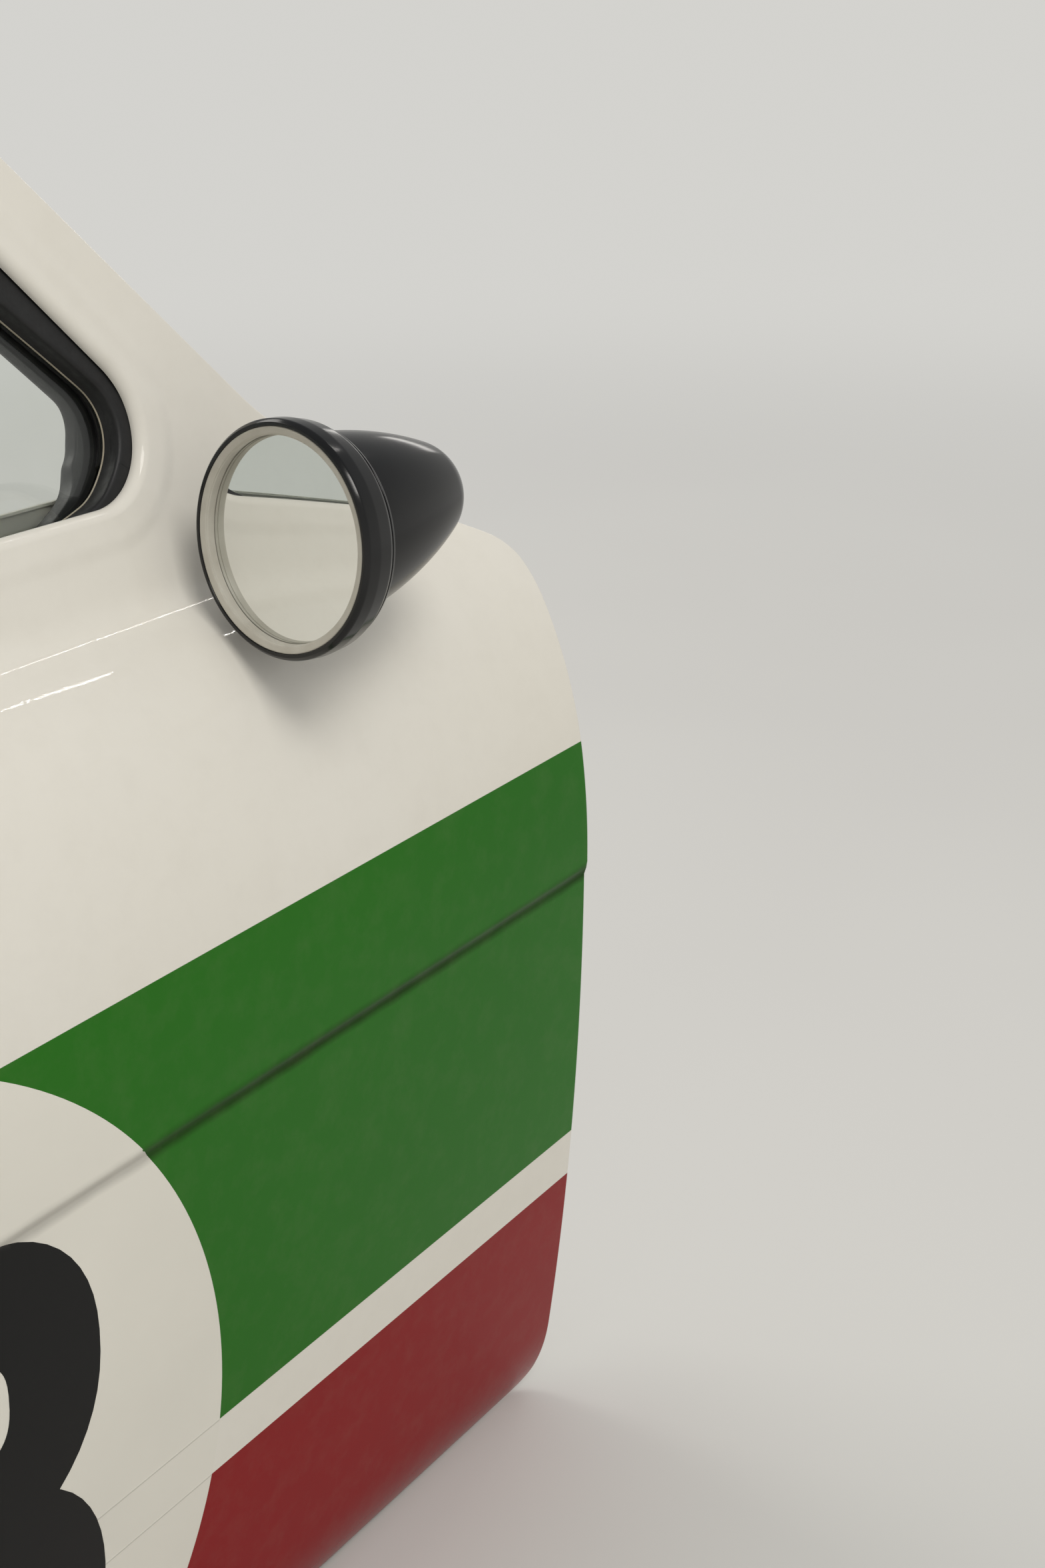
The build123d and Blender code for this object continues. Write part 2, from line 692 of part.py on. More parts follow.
def inner_release():
    """A dished escutcheon with its pull lever."""
    face = Pos(RELEASE_X, RELEASE_Z) * RectangleRounded(RELEASE_W, RELEASE_H, RELEASE_H / 4.0)
    plate = side(face, PAD_Y, PAD_Y + RELEASE_T)
    plate = fillet(plate.faces().sort_by(Axis.Y)[-1].edges(), RELEASE_T / 3.0)
    dish = Pos(RELEASE_X, RELEASE_Z) * RectangleRounded(0.84 * RELEASE_W, 0.66 * RELEASE_H, RELEASE_H / 5.0)
    floor_y = PAD_Y + RELEASE_FLOOR
    plate -= side(dish, floor_y)
    lever_y = floor_y + LEVER_GAP
    blade = Pos(RELEASE_X - LEVER_POST_R, RELEASE_Z) * SlotOverall(LEVER_L, 0.42 * RELEASE_H)
    lever = fillet(side(blade, lever_y, lever_y + LEVER_T).edges(), LEVER_T / 3.0)
    post_face = Pos(RELEASE_X + 0.2 * RELEASE_W, RELEASE_Z) * Circle(LEVER_POST_R)
    post = side(post_face, floor_y - RELEASE_FLOOR / 4.0, lever_y + LEVER_T / 3.0)
    return plate + lever + post


def window_winder():
    """A crank: boss, tapered arm and turned knob."""
    face_y = CARD_Y + CARD_T + SEAT
    hub = Pos(WINDER_X, WINDER_Z)
    tip = Pos(WINDER_X - WINDER_L, WINDER_Z)
    boss = side(hub * Circle(WINDER_BOSS_R), face_y, face_y + BOSS_H)
    boss = fillet(boss.edges().sort_by(Axis.Y)[-1], BOSS_H / 5.0)
    big = hub * Circle(0.8 * WINDER_BOSS_R)
    small = tip * Circle(WINDER_TIP_R)
    arm_y = face_y + CRANK_OUT
    top_y = arm_y + CRANK_T
    arm = side(make_hull(big.edges() + small.edges()), arm_y, top_y)
    arm = fillet(arm.edges().group_by(Axis.Y)[-1], CRANK_T / 3.0)
    knob_y = top_y + CRANK_T / 7.0
    knob = side(tip * Circle(KNOB_R), knob_y, knob_y + KNOB_H)
    knob = fillet(knob.edges().sort_by(Axis.Y)[-1], KNOB_R / 2.0)
    neck = side(tip * Circle(0.6 * KNOB_R), arm_y + CRANK_T / 2.0, knob_y + CRANK_T / 7.0)
    return boss + arm + neck + knob


def axis_from(azimuth, elevation):
    a = radians(azimuth)
    e = radians(elevation)
    return (cos(a) * cos(e), sin(a) * cos(e), sin(e))


RIM_AXIS = axis_from(GLASS_AZIMUTH, GLASS_PITCH)
SHELL_AXIS = axis_from(NOSE_AZIMUTH, NOSE_PITCH)


def spun(edges, axis):
    """Turns a closed section about an axis through the glass's centre.

    The section's points are (distance from the axis, distance ahead of the glass).
    """
    plane = Plane(origin=GLASS_C, z_dir=axis)
    face = Plane.XZ * make_face(Curve() + edges)
    return plane.location * revolve(face, Axis.Z, 360)


def spun_ring(r0, r1, a0, a1):
    """A plain ring between two radii and two distances ahead of the glass."""
    corners = [(r0, a0), (r1, a0), (r1, a1), (r0, a1)]
    edges = [Line(corners[i], corners[(i + 1) % 4]) for i in range(4)]
    return spun(edges, RIM_AXIS)


def shell_body(wall):
    """The bullet, solid, its surface moved in by wall: a barrel arc runs into the nose's arc."""
    nose = NOSE_R - wall
    base = SHELL_R - wall
    tip = SHELL_L - wall
    cn = tip - nose
    radius = (nose**2 - base**2 - cn**2) / (2.0 * (nose - base))
    cx = base - radius
    gap = sqrt(cx**2 + cn**2)
    turn = asin(cn / gap)
    touch = (cx + radius * cos(turn), radius * sin(turn))
    mid = (cx + radius * cos(turn / 2.0), radius * sin(turn / 2.0))
    half = (turn + radians(90.0)) / 2.0
    nose_mid = (nose * cos(half), cn + nose * sin(half))
    edges = [
        Line((0, 0), (base, 0)),
        ThreePointArc((base, 0), mid, touch),
        ThreePointArc(touch, nose_mid, (0, tip)),
        Line((0, tip), (0, 0)),
    ]
    return spun(edges, SHELL_AXIS)


def mirror_rim():
    """The flared black ring: rounded lip, full band, groove and a bead at its back."""
    lip = RIM_BORE + 0.45 * RIM_WALL
    groove = RIM_BACK - 3.4
    seat = COLLAR_R + SEAT
    step = BEZEL_BACK + SEAT
    edges = [
        Line((RIM_BORE, -RIM_FRONT), (lip, -RIM_FRONT)),
        ThreePointArc((lip, -RIM_FRONT), (RIM_R - 0.9, -RIM_FRONT + 0.6), (RIM_R - 0.5, -RIM_FRONT + 1.8)),
        ThreePointArc((RIM_R - 0.5, -RIM_FRONT + 1.8), (RIM_R - 0.3, 2.5), (RIM_R - 1.8, groove - 1.4)),
        ThreePointArc((RIM_R - 1.8, groove - 1.4), (RIM_R - 2.2, groove - 0.4), (RIM_R - 3.2, groove)),
        Line((RIM_R - 3.2, groove), (RIM_R - 3.2, groove + 0.7)),
        ThreePointArc((RIM_R - 3.2, groove + 0.7), (RIM_R - 3.6, RIM_BACK - 0.7), (RIM_R - 5.2, RIM_BACK)),
        Line((RIM_R - 5.2, RIM_BACK), (seat, RIM_BACK)),
        Line((seat, RIM_BACK), (seat, step)),
        Line((seat, step), (RIM_BORE, step)),
        Line((RIM_BORE, step), (RIM_BORE, -RIM_FRONT)),
    ]
    return spun(edges, RIM_AXIS)


def mirror_inner_ring():
    """The pale bezel: a flat lip, a fine step, and a wall down to the glass, whose edge it laps."""
    outer = RIM_BORE - SEAT
    inner = MIRROR_GLASS_R - BEZEL_LAP
    pocket = MIRROR_GLASS_R + SEAT
    behind = MIRROR_GLASS_T + SEAT
    ledge = MIRROR_GLASS_R - BEZEL_LEDGE
    points = [
        (outer, BEZEL_BACK),
        (outer, -BEZEL_FRONT + 0.3),
        (outer - 0.3, -BEZEL_FRONT),
        (inner + 0.9, -BEZEL_FRONT + 0.7),
        (inner + 0.4, -BEZEL_FRONT + 1.0),
        (inner + 0.4, -BEZEL_FRONT + 1.4),
        (inner, -BEZEL_FRONT + 1.8),
        (inner, -SEAT),
        (pocket, -SEAT),
        (pocket, behind),
        (ledge, behind),
        (ledge, BEZEL_BACK),
    ]
    edges = [Line(points[i], points[(i + 1) % len(points)]) for i in range(len(points))]
    return spun(edges, RIM_AXIS)


def mirror_glass():
    r = MIRROR_GLASS_R
    t = MIRROR_GLASS_T
    edges = [
        Line((0, 0), (r - 0.6, 0)),
        Line((r - 0.6, 0), (r, 0.6)),
        Line((r, 0.6), (r, t)),
        Line((r, t), (0, t)),
        Line((0, t), (0, 0)),
    ]
    return spun(edges, RIM_AXIS)


def stem_line():
    """The stem's direction from the ball to the foot, and its length."""
    foot = (FOOT_X, lean_y(FOOT_Z) - FOOT_THICK, FOOT_Z)
    d = [foot[i] - BALL[i] for i in range(3)]
    n = sqrt(sum(c * c for c in d))
    return tuple(c / n for c in d), n


def along(axis, start, length, r0, r1):
    """A cone or cylinder from start along axis."""
    plane = Plane(origin=start, z_dir=axis)
    if r0 == r1:
        return plane.location * Pos(0, 0, length / 2.0) * Cylinder(r0, length)
    return plane.location * Pos(0, 0, length / 2.0) * Cone(r0, r1, length)


def mirror_shell():
    """The bullet with its collar and, inside, the boss that holds the ball's cup."""
    inside = shell_body(SHELL_T)
    outer = shell_body(0.0)
    front = BEZEL_BACK + 2.0 * SEAT
    body = (outer - inside) & spun_ring(0.0, 2.0 * RIM_R, front, 2.0 * SHELL_L)
    body += spun_ring(SHELL_R - 2.0 * SHELL_T, COLLAR_R, front, COLLAR_END) - inside
    direction = stem_line()[0]
    boss_r = CUP_R + BOSS_WALL
    boss = along(direction, BALL, SHELL_R, boss_r, boss_r) + Pos(*BALL) * Sphere(boss_r)
    body += boss & outer
    body -= Pos(*BALL) * Sphere(CUP_R + BALL_FIT)
    for turn in (-PAN_ROOM, 0.0, PAN_ROOM):
        c = cos(radians(turn))
        s = sin(radians(turn))
        d = (direction[0] * c - direction[1] * s, direction[0] * s + direction[1] * c, direction[2])
        body -= along(d, BALL, SHELL_R, STEM_R + STEM_ROOM, STEM_R + STEM_ROOM)
    return body


def friction_cup():
    direction = stem_line()[0]
    cup = Pos(*BALL) * Sphere(CUP_R) - Pos(*BALL) * Sphere(BALL_R + BALL_FIT)
    cut_from = tuple(BALL[i] + direction[i] * CUP_OPEN for i in range(3))
    return cup - along(direction, cut_from, 2.0 * CUP_R, 3.0 * CUP_R, 3.0 * CUP_R)


def mirror_foot():
    """A stepped oval foot on the door's upright, its tapered stem and the ball."""
    direction, reach = stem_line()
    broad = Pos(FOOT_X, FOOT_Z) * RectangleRounded(FOOT_W, FOOT_H, FOOT_R)
    less = 2.0 * FOOT_STEP
    narrow = Pos(FOOT_X, FOOT_Z) * RectangleRounded(FOOT_W - less, FOOT_H - less, FOOT_R - FOOT_STEP)
    seat = GASKET_T + SEAT
    foot = band(-FOOT_THICK + FOOT_STEP, -seat) & side(broad)
    foot += band(-FOOT_THICK, -seat) & side(narrow)
    start = tuple(BALL[i] + direction[i] * BALL_R / 2.0 for i in range(3))
    stem = along(direction, start, reach, STEM_R, STEM_R + STEM_FLARE)
    foot += stem - region(-seat - SEAT)
    return foot + Pos(*BALL) * Sphere(BALL_R)


def mirror_gasket():
    lap = 2.0 * GASKET_LAP
    face = Pos(FOOT_X, FOOT_Z) * RectangleRounded(FOOT_W + lap, FOOT_H + lap, FOOT_R + GASKET_LAP)
    return band(-GASKET_T, -SEAT) & side(face)


for which, height in (("upper", UPPER_HINGE_Z), ("lower", LOWER_HINGE_Z)):
    save(which + "_hinge_pillar_leaf", pillar_leaf(height))
    save(which + "_hinge_pin", hinge_pin(height))
    save(which + "_hinge_door_leaf", door_leaf(height))

save("door_skin", door_skin())
save("inner_pressing", inner_pressing())
save("window_glass", window_glass())
save("window_seal", window_seal())
save("outer_waist_seal", waist_strip(REVEAL + SEAT, GLASS_IN - SEAT, OUTER_WAIST))
save("inner_waist_rail", waist_strip(GLASS_IN + GLASS_T + SEAT, FRAME_DEPTH - WALL - SEAT, INNER_WAIST))
save("weatherstrip", weatherstrip())
save("door_card", door_card())
save("outer_handle", outer_handle())
save("lock_barrel", lock_barrel())
save("door_latch", door_latch())
save("grab_handle", grab_handle())
save("inner_release", inner_release())
save("window_winder", window_winder())
save("mirror_foot", mirror_foot())
save("mirror_gasket", mirror_gasket())
save("mirror_friction_cup", friction_cup())
save("mirror_shell", mirror_shell())
save("mirror_rim", mirror_rim())
save("mirror_inner_ring", mirror_inner_ring())
save("mirror_glass", mirror_glass())
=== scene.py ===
import math

import bmesh
import bpy
import numpy as np
from mathutils import Matrix, Vector
from mathutils.geometry import delaunay_2d_cdt
from mathutils.kdtree import KDTree


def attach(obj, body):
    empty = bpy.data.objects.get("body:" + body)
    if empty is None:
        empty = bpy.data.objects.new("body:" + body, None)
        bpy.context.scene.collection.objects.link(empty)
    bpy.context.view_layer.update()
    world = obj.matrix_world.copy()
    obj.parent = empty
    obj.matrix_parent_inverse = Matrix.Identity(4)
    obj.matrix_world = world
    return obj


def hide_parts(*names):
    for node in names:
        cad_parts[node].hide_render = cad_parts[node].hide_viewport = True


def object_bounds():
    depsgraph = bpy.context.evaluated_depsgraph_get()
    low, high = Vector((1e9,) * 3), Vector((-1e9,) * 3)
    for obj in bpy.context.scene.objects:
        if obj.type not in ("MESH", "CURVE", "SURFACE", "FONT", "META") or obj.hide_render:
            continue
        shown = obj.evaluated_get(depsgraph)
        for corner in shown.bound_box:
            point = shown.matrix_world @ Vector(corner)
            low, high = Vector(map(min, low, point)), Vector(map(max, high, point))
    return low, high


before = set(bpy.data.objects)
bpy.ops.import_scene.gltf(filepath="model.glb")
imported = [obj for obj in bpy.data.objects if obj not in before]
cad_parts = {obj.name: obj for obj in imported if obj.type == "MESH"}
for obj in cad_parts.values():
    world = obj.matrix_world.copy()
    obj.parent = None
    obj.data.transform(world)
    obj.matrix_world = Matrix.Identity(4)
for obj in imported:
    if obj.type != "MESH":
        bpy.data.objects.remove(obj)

# The looks of a rally car's door.  Shapes are worked out in millimetres in the
# door's drawing frame: x forward from the front shut line, y inboard from the
# outermost skin, z up from the front end of the side crease.
CAD_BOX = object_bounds()
ORIGIN = np.array((13.0, 98.0, 60.0))
MM = 0.001

# section of the skin as arcs of (radius, turn), and its outlines as (x, z, corner radius)
SECTION_STEP, SECTION_BLUR = 0.25, 3.5
UPPER_ARCS = ((454.0, 7.6), (266.0, 19.0), (86.0, 41.0))
LOWER_ARCS = ((2300.0, 8.0), (120.0, 31.0))
TAIL_RUN, UPRIGHT_RUN, LEDGE_FILLET = 60.0, 560.0, 24.0
BELT_Y, BELT_Z, LEAN = 100.0, 238.0, 16.7
DOOR_LEN = 1134.0
OUTLINE = ((0, -372, 16), (0, 174, 18), (-139, 259, 130), (-514.6, 660, 70), (-1064, 654, 38),
           (-1134, 238, 160), (-1134, -358, 46))
OPENING = ((-182.0, 238, 36), (-512.0, 618, 40), (-1022.4, 614, 34), (-1086, 238, 30))
ROOF_CROWN, OPEN_CROWN, CROWN_R = 12.0, 10.0, 900.0
CREASE_Z, CREASE_STEP, CREASE_H = -6.5, 2.0, 4.5
CREASE_FALL = math.tan(math.radians(0.8))

# looks of the skin: hem, window edge, raised band and pressed valley
HEM_R, HEM_W, SKIN_T = 1.7, 10.0, 1.0
ROLL_R, REVEAL = 5.6, 6.0
BAND_H, BAND_W = 0.9, (14.0, 23.0)
PRESS_FROM, PRESS_RISE = (-190.0, 262.0), math.radians(50.8)
PRESS_LEN, PRESS_W, PRESS_H = 505.0, 8.5, 0.75

# livery: the bands' edges as height at x = 0 and slope, the start number's disc, and its number
GREEN_TOP, PIN_TOP, PIN_LOW = (67.0, 0.016), (-179.0, 0.022), (-209.0, 0.022)
DISC = (-566.0, -160.0, 250.0)
NUM_LOW, NUM_HIGH, NUM_W, NUM_STROKE = -308.0, -12.0, 160.0, 54.0
NUM_TWO_X, NUM_THREE_X, NUM_SQUARE = -656.0, -476.0, 2.35
# heights over the paint of each film's back and face
DISC_FILM, NUM_FILM = (-0.35, 0.10), (-0.30, 0.20)


def row(p):
    """Drawing frame in mm to the shared frame in metres."""
    return (np.asarray(p, float) - ORIGIN) * MM


def unit(v):
    v = np.asarray(v, float)
    return v / np.maximum(np.linalg.norm(v, axis=-1, keepdims=True), 1e-12)


def smooth(t):
    t = np.clip(t, 0.0, 1.0)
    return t * t * (3.0 - 2.0 * t)


def blurred(values, reach, step, sigma):
    """Values smoothed by a bell curve that reaches so many steps to each side."""
    kernel = np.exp(-0.5 * (np.arange(-reach, reach + 1) * step / sigma) ** 2)
    return np.convolve(np.pad(values, reach, mode="edge"), kernel / kernel.sum(), mode="valid")


# ---------------------------------------------------------------- section
def arc_headings(start, arcs):
    """Headings along arcs, one for each step, and the heading at their end."""
    parts = []
    for radius, turn in arcs:
        n = max(2, round(radius * math.radians(abs(turn)) / SECTION_STEP))
        parts.append(start + turn * (np.arange(n) + 0.5) / n)
        start += turn
    return np.concatenate(parts), start


def make_section():
    """Arc length, y, z and heading along the skin's section, from the sill to the roof rail."""
    step = SECTION_STEP
    up, end = arc_headings(90.0, [(r, -t) for r, t in UPPER_ARCS])
    y = step * np.cos(np.radians(up)).sum()
    z = step * np.sin(np.radians(up)).sum()
    upright, lean = 90.0 - LEAN, math.radians(LEAN)
    foot_y = BELT_Y - (BELT_Z - z) * math.tan(lean)
    ledge = (foot_y - y) * math.cos(lean) / math.sin(math.radians(upright - end))
    back = LEDGE_FILLET * math.tan(math.radians((upright - end) / 2.0))
    fill, _ = arc_headings(end, [(LEDGE_FILLET, upright - end)])
    up = np.concatenate((up, np.full(round((ledge - back) / step), end), fill,
                         np.full(round(UPRIGHT_RUN / step), upright)))
    down, low = arc_headings(90.0, LOWER_ARCS)
    down = np.concatenate((down, np.full(round(TAIL_RUN / step), low)))
    head = blurred(np.concatenate((down[::-1], up)), 48, step, SECTION_BLUR)
    y, z = (np.concatenate(((0.0,), np.cumsum(part(np.radians(head)) * step))) for part in (np.cos, np.sin))
    zero = len(down)
    mid = np.concatenate((head[:1], (head[1:] + head[:-1]) / 2.0, head[-1:]))
    return (np.arange(len(y)) - zero) * step, y - y[zero], z - z[zero], np.radians(mid)


SEC_S, SEC_Y, SEC_Z, SEC_H = make_section()
SEC_Y = SEC_Y + (BELT_Y - np.interp(BELT_Z, SEC_Z, SEC_Y)) * smooth((SEC_Z - 120.0) / 60.0)
# how far the skin steps in under the crease, by the height over the crease's line
FALL_U = np.linspace(-12.0, 8.0, 401)
FALL = blurred(np.interp(FALL_U, (-CREASE_H, 0.0), (CREASE_STEP, 0.0)), 60, 0.05, 0.75)


def s_of_z(z):
    return np.interp(z, SEC_Z, SEC_S)


def crease_z(x):
    return CREASE_Z + CREASE_FALL * x


def over_crease(flat):
    """Height of points in the unrolled skin over the crease's line."""
    return np.interp(flat[:, 1], SEC_S, SEC_Z) - crease_z(flat[:, 0])


# ---------------------------------------------------------------- loops
def rounded(corners, gap=None, steps=5):
    """A closed polygon (x, z, radius) with its corners rounded: points at most gap apart, or in so many steps."""
    straight, share = (math.pi / 2.0 - 1e-4, np.inf) if gap else (1.55, 0.49)
    turn = math.radians(4.0)
    out = []
    for i, (x, z, r) in enumerate(corners):
        p = np.array((x, z), float)
        a, b = (np.array(corners[j % len(corners)][:2], float) - p for j in (i - 1, i + 1))
        room = share * min(np.linalg.norm(a), np.linalg.norm(b))
        a, b = unit(a), unit(b)
        half = math.acos(float(np.clip(a @ b, -1.0, 1.0))) / 2.0
        if r <= 0.0 or half > straight:
            out.append(p)
            continue
        t = r / math.tan(half)
        if t > room:
            t, r = room, room * math.tan(half)
        centre = p + unit(a + b) * r / math.sin(half)
        v0, v1 = p + a * t - centre, p + b * t - centre
        sweep = math.atan2(v0[0] * v1[1] - v0[1] * v1[0], v0 @ v1)
        count = max(2, math.ceil(abs(sweep) / min(turn, gap / r))) if gap else steps
        for w in sweep * np.arange(count + 1) / count:
            c, s = math.cos(w), math.sin(w)
            out.append(centre + (c * v0[0] - s * v0[1], s * v0[0] + c * v0[1]))
    return np.array(out)


def divided(pts, gap):
    """A closed polygon whose sides are divided where they are longer than the gap."""
    out = []
    for p, q in zip(pts, np.roll(pts, -1, 0)):
        parts = max(1, math.ceil(np.linalg.norm(q - p) / gap))
        out += [p + (q - p) * k / parts for k in range(parts)]
    return np.array(out)


def loop(corners, gap):
    return divided(rounded(corners, gap), gap)


def arched(corners, first, crown, parts=10):
    """The corner table with a crown put on the side that starts at row first."""
    a, b = (np.array(c[:2], float) for c in corners[first:first + 2])
    rows = [(*(a + (b - a) * t + (0.0, 4.0 * crown * t * (1.0 - t))), CROWN_R) for t in np.arange(1, parts) / parts]
    return [*corners[:first + 1], *rows, *corners[first + 1:]]


def to_flat(loop_xz):
    """Side view (x, z) to the unrolled skin (x, s), with long steps divided."""
    return divided(np.stack((loop_xz[:, 0], s_of_z(loop_xz[:, 1])), 1), 4.0)


def side_normals(p):
    """Unit normals of a closed loop, to its left, lengthened at corners so that offsets stay parallel."""
    e = unit(np.roll(p, -1, 0) - p)
    n = np.stack((-e[:, 1], e[:, 0]), 1)
    m = unit(n + np.roll(n, 1, 0))
    return m / np.maximum((m * n).sum(1), 0.5)[:, None]


def inside(pts, poly):
    """Which points lie in a closed polygon."""
    hit = np.zeros(len(pts), bool)
    x, y = pts[:, 0], pts[:, 1]
    for (x0, y0), (x1, y1) in zip(poly, np.roll(poly, -1, 0)):
        if y0 != y1:
            hit ^= ((y0 > y) != (y1 > y)) & (x < x0 + (y - y0) * (x1 - x0) / (y1 - y0))
    return hit


def between(outer, inner):
    return lambda mid: inside(mid, outer) & ~inside(mid, inner)


def unrolled(corners, gap):
    """An outline in the unrolled skin, anticlockwise, and its normals towards the middle."""
    p = to_flat(loop(corners, gap))
    q = np.roll(p, -1, 0)
    if (p[:, 0] * q[:, 1] - q[:, 0] * p[:, 1]).sum() < 0.0:
        p = p[::-1]
    return p, side_normals(p)


OPENING_ARCHED = arched(OPENING, 1, OPEN_CROWN)
OUT, OUT_N = unrolled(arched(OUTLINE, 3, ROOF_CROWN), 4.0)
HOLE, HOLE_N = unrolled(OPENING_ARCHED, 3.0)


class Near:
    """What lies near: the nearest of some points, or the closed loop that they make."""

    def __init__(self, pts):
        self.p = pts
        self.tree = KDTree(len(pts))
        for i, q in enumerate(pts):
            self.tree.insert((*q, 0.0), i)
        self.tree.balance()

    def point(self, pts, what):
        """The nearest point's number (what = 1) or distance (what = 2)."""
        return np.array([self.tree.find((*q, 0.0))[what] for q in pts])

    def distance(self, pts):
        """Distance to the loop."""
        near, best = self.point(pts, 1), np.full(len(pts), 1e9)
        for shift in (-1, 0):
            a, b = (self.p[(near + k) % len(self.p)] for k in (shift, shift + 1))
            d = b - a
            t = np.clip(((pts - a) * d).sum(1) / (d * d).sum(1), 0.0, 1.0)
            best = np.minimum(best, np.linalg.norm(pts - a - d * t[:, None], axis=1))
        return best


HOLE_EDGE = Near(to_flat(loop(OPENING_ARCHED, 1.0)))
OUT_EDGE = Near(OUT)
PRESS_A = np.array((PRESS_FROM[0], float(s_of_z(PRESS_FROM[1]))))
PRESS_D = np.array((-math.cos(PRESS_RISE), math.sin(PRESS_RISE)))
PRESS_N = np.array((-PRESS_D[1], PRESS_D[0]))


def press_coords(flat):
    """Distance along the pressed valley, and off its middle."""
    return (flat - PRESS_A) @ PRESS_D, (flat - PRESS_A) @ PRESS_N


def relief(flat):
    """Pressed shapes that stand proud of the plain section."""
    lift = np.zeros(len(flat))
    close = (flat[:, 1] > 180.0)
    if close.any():
        d = HOLE_EDGE.distance(flat[close])
        lift[close] = BAND_H * (1.0 - smooth((d - BAND_W[0]) / (BAND_W[1] - BAND_W[0])))
    along, off = press_coords(flat)
    valley = np.where(np.abs(off) < PRESS_W, 0.5 + 0.5 * np.cos(math.pi * off / PRESS_W), 0.0)
    fade = smooth((along + 6.0) / 55.0) * smooth((PRESS_LEN - along) / 20.0)
    return lift - PRESS_H * valley * fade


def surface(flat, depth=0.0):
    """Points of the skin's outer face, or of a face deeper in."""
    x, s = flat[:, 0], flat[:, 1]
    y, z, h = (np.interp(s, SEC_S, t) for t in (SEC_Y, SEC_Z, SEC_H))
    lift = relief(flat) - depth
    y = y + np.interp(z - crease_z(x), FALL_U, FALL)
    return np.stack((x, y - np.sin(h) * lift, z + np.cos(h) * lift), 1)


def surface_axes(flat, depth=0.0, eps=0.25):
    """Unit outward normals and the two unit directions that x and s take on the face."""
    tx, ts = (unit(surface(flat + d, depth) - surface(flat - d, depth)) for d in np.diag((eps, eps)))
    return unit(np.cross(tx, ts)), tx, ts


# ---------------------------------------------------------------- mesh making
def placed(name, data):
    """A new object in the scene."""
    ob = bpy.data.objects.new(name, data)
    bpy.context.scene.collection.objects.link(ob)
    return ob


class Shell:
    """Collects points, faces, a normal for each corner and a material for each face."""

    def __init__(self):
        self.v, self.f, self.n, self.m = [], [], [], []

    def points(self, pts):
        start = len(self.v)
        self.v += row(pts).tolist()
        return np.arange(start, len(self.v))

    def faces(self, idx, normals, mat=0):
        """idx rows are faces; normals rows match them, corner by corner."""
        self.f += idx.tolist()
        self.n += normals.reshape(-1, 3).tolist()
        self.m += [mat] * len(idx)

    def carry(self, ring, base, n, way, path, flip=False):
        """Carries a closed ring over rows of (reach, depth, the two angles of the strip's normals, material)."""
        order = [0, 3, 2, 1] if flip else [0, 1, 2, 3]
        for reach, depth, a0, a1, mat in path:
            new = self.points(base + way * reach - n * depth)
            na, nb = (n * math.cos(a) + way * math.sin(a) for a in (a0, a1))
            idx = np.stack((ring, np.roll(ring, -1), np.roll(new, -1), new), 1)
            nor = np.stack((na, np.roll(na, -1, 0), np.roll(nb, -1, 0), nb), 1)
            self.faces(idx[:, order], nor[:, order], mat)
            ring = new
        return ring

    def build(self, name, *mats):
        me = bpy.data.meshes.new(name)
        me.from_pydata(self.v, [], self.f)
        me.polygons.foreach_set("use_smooth", [True] * len(self.f))
        me.polygons.foreach_set("material_index", self.m)
        for m in mats:
            me.materials.append(m)
        me.update()
        me.normals_split_custom_set(self.n)
        return placed(name, me)


def soften(ob, sharp):
    me = ob.data
    me.polygons.foreach_set("use_smooth", [True] * len(me.polygons))
    me.set_sharp_from_angle(angle=math.radians(sharp))


def solid(name, verts, faces, mat, sharp=32.0):
    """An object of a closed mesh, its faces turned out; corners sharper than the angle stay crisp."""
    me = bpy.data.meshes.new(name)
    me.from_pydata([tuple(v) for v in verts], [], faces)
    me.materials.append(mat)
    ob = placed(name, me)
    bm = bmesh.new()
    bm.from_mesh(me)
    bmesh.ops.recalc_face_normals(bm, faces=bm.faces)
    bm.to_mesh(me)
    bm.free()
    soften(ob, sharp)
    return ob


def skin_over(rings, ends=False):
    """Points and faces over rings that follow each other, a ring of one point being a tip.

    The last ring meets the first, or with ends both end rings are closed with a face.
    """
    wide = max(map(len, rings))
    starts = np.cumsum([0] + [len(r) for r in rings])
    index = [(s + np.arange(wide) * (len(r) > 1)).tolist() for s, r in zip(starts, rings)]
    pairs = list(zip(index, index[1:] + index[:1]))
    faces = [tuple(dict.fromkeys((p[k], p[(k + 1) % wide], q[(k + 1) % wide], q[k])))
             for p, q in (pairs[:-1] if ends else pairs) for k in range(wide)]
    faces = [f for f in faces if len(f) > 2]
    return np.concatenate(rings), faces + [tuple(index[0]), tuple(index[-1])] if ends else faces


def joined(parts):
    """The points and the faces of several parts."""
    verts, faces = [], []
    for pts, part_faces in parts:
        faces += [tuple(len(verts) + i for i in f) for f in part_faces]
        verts += list(pts)
    return verts, faces


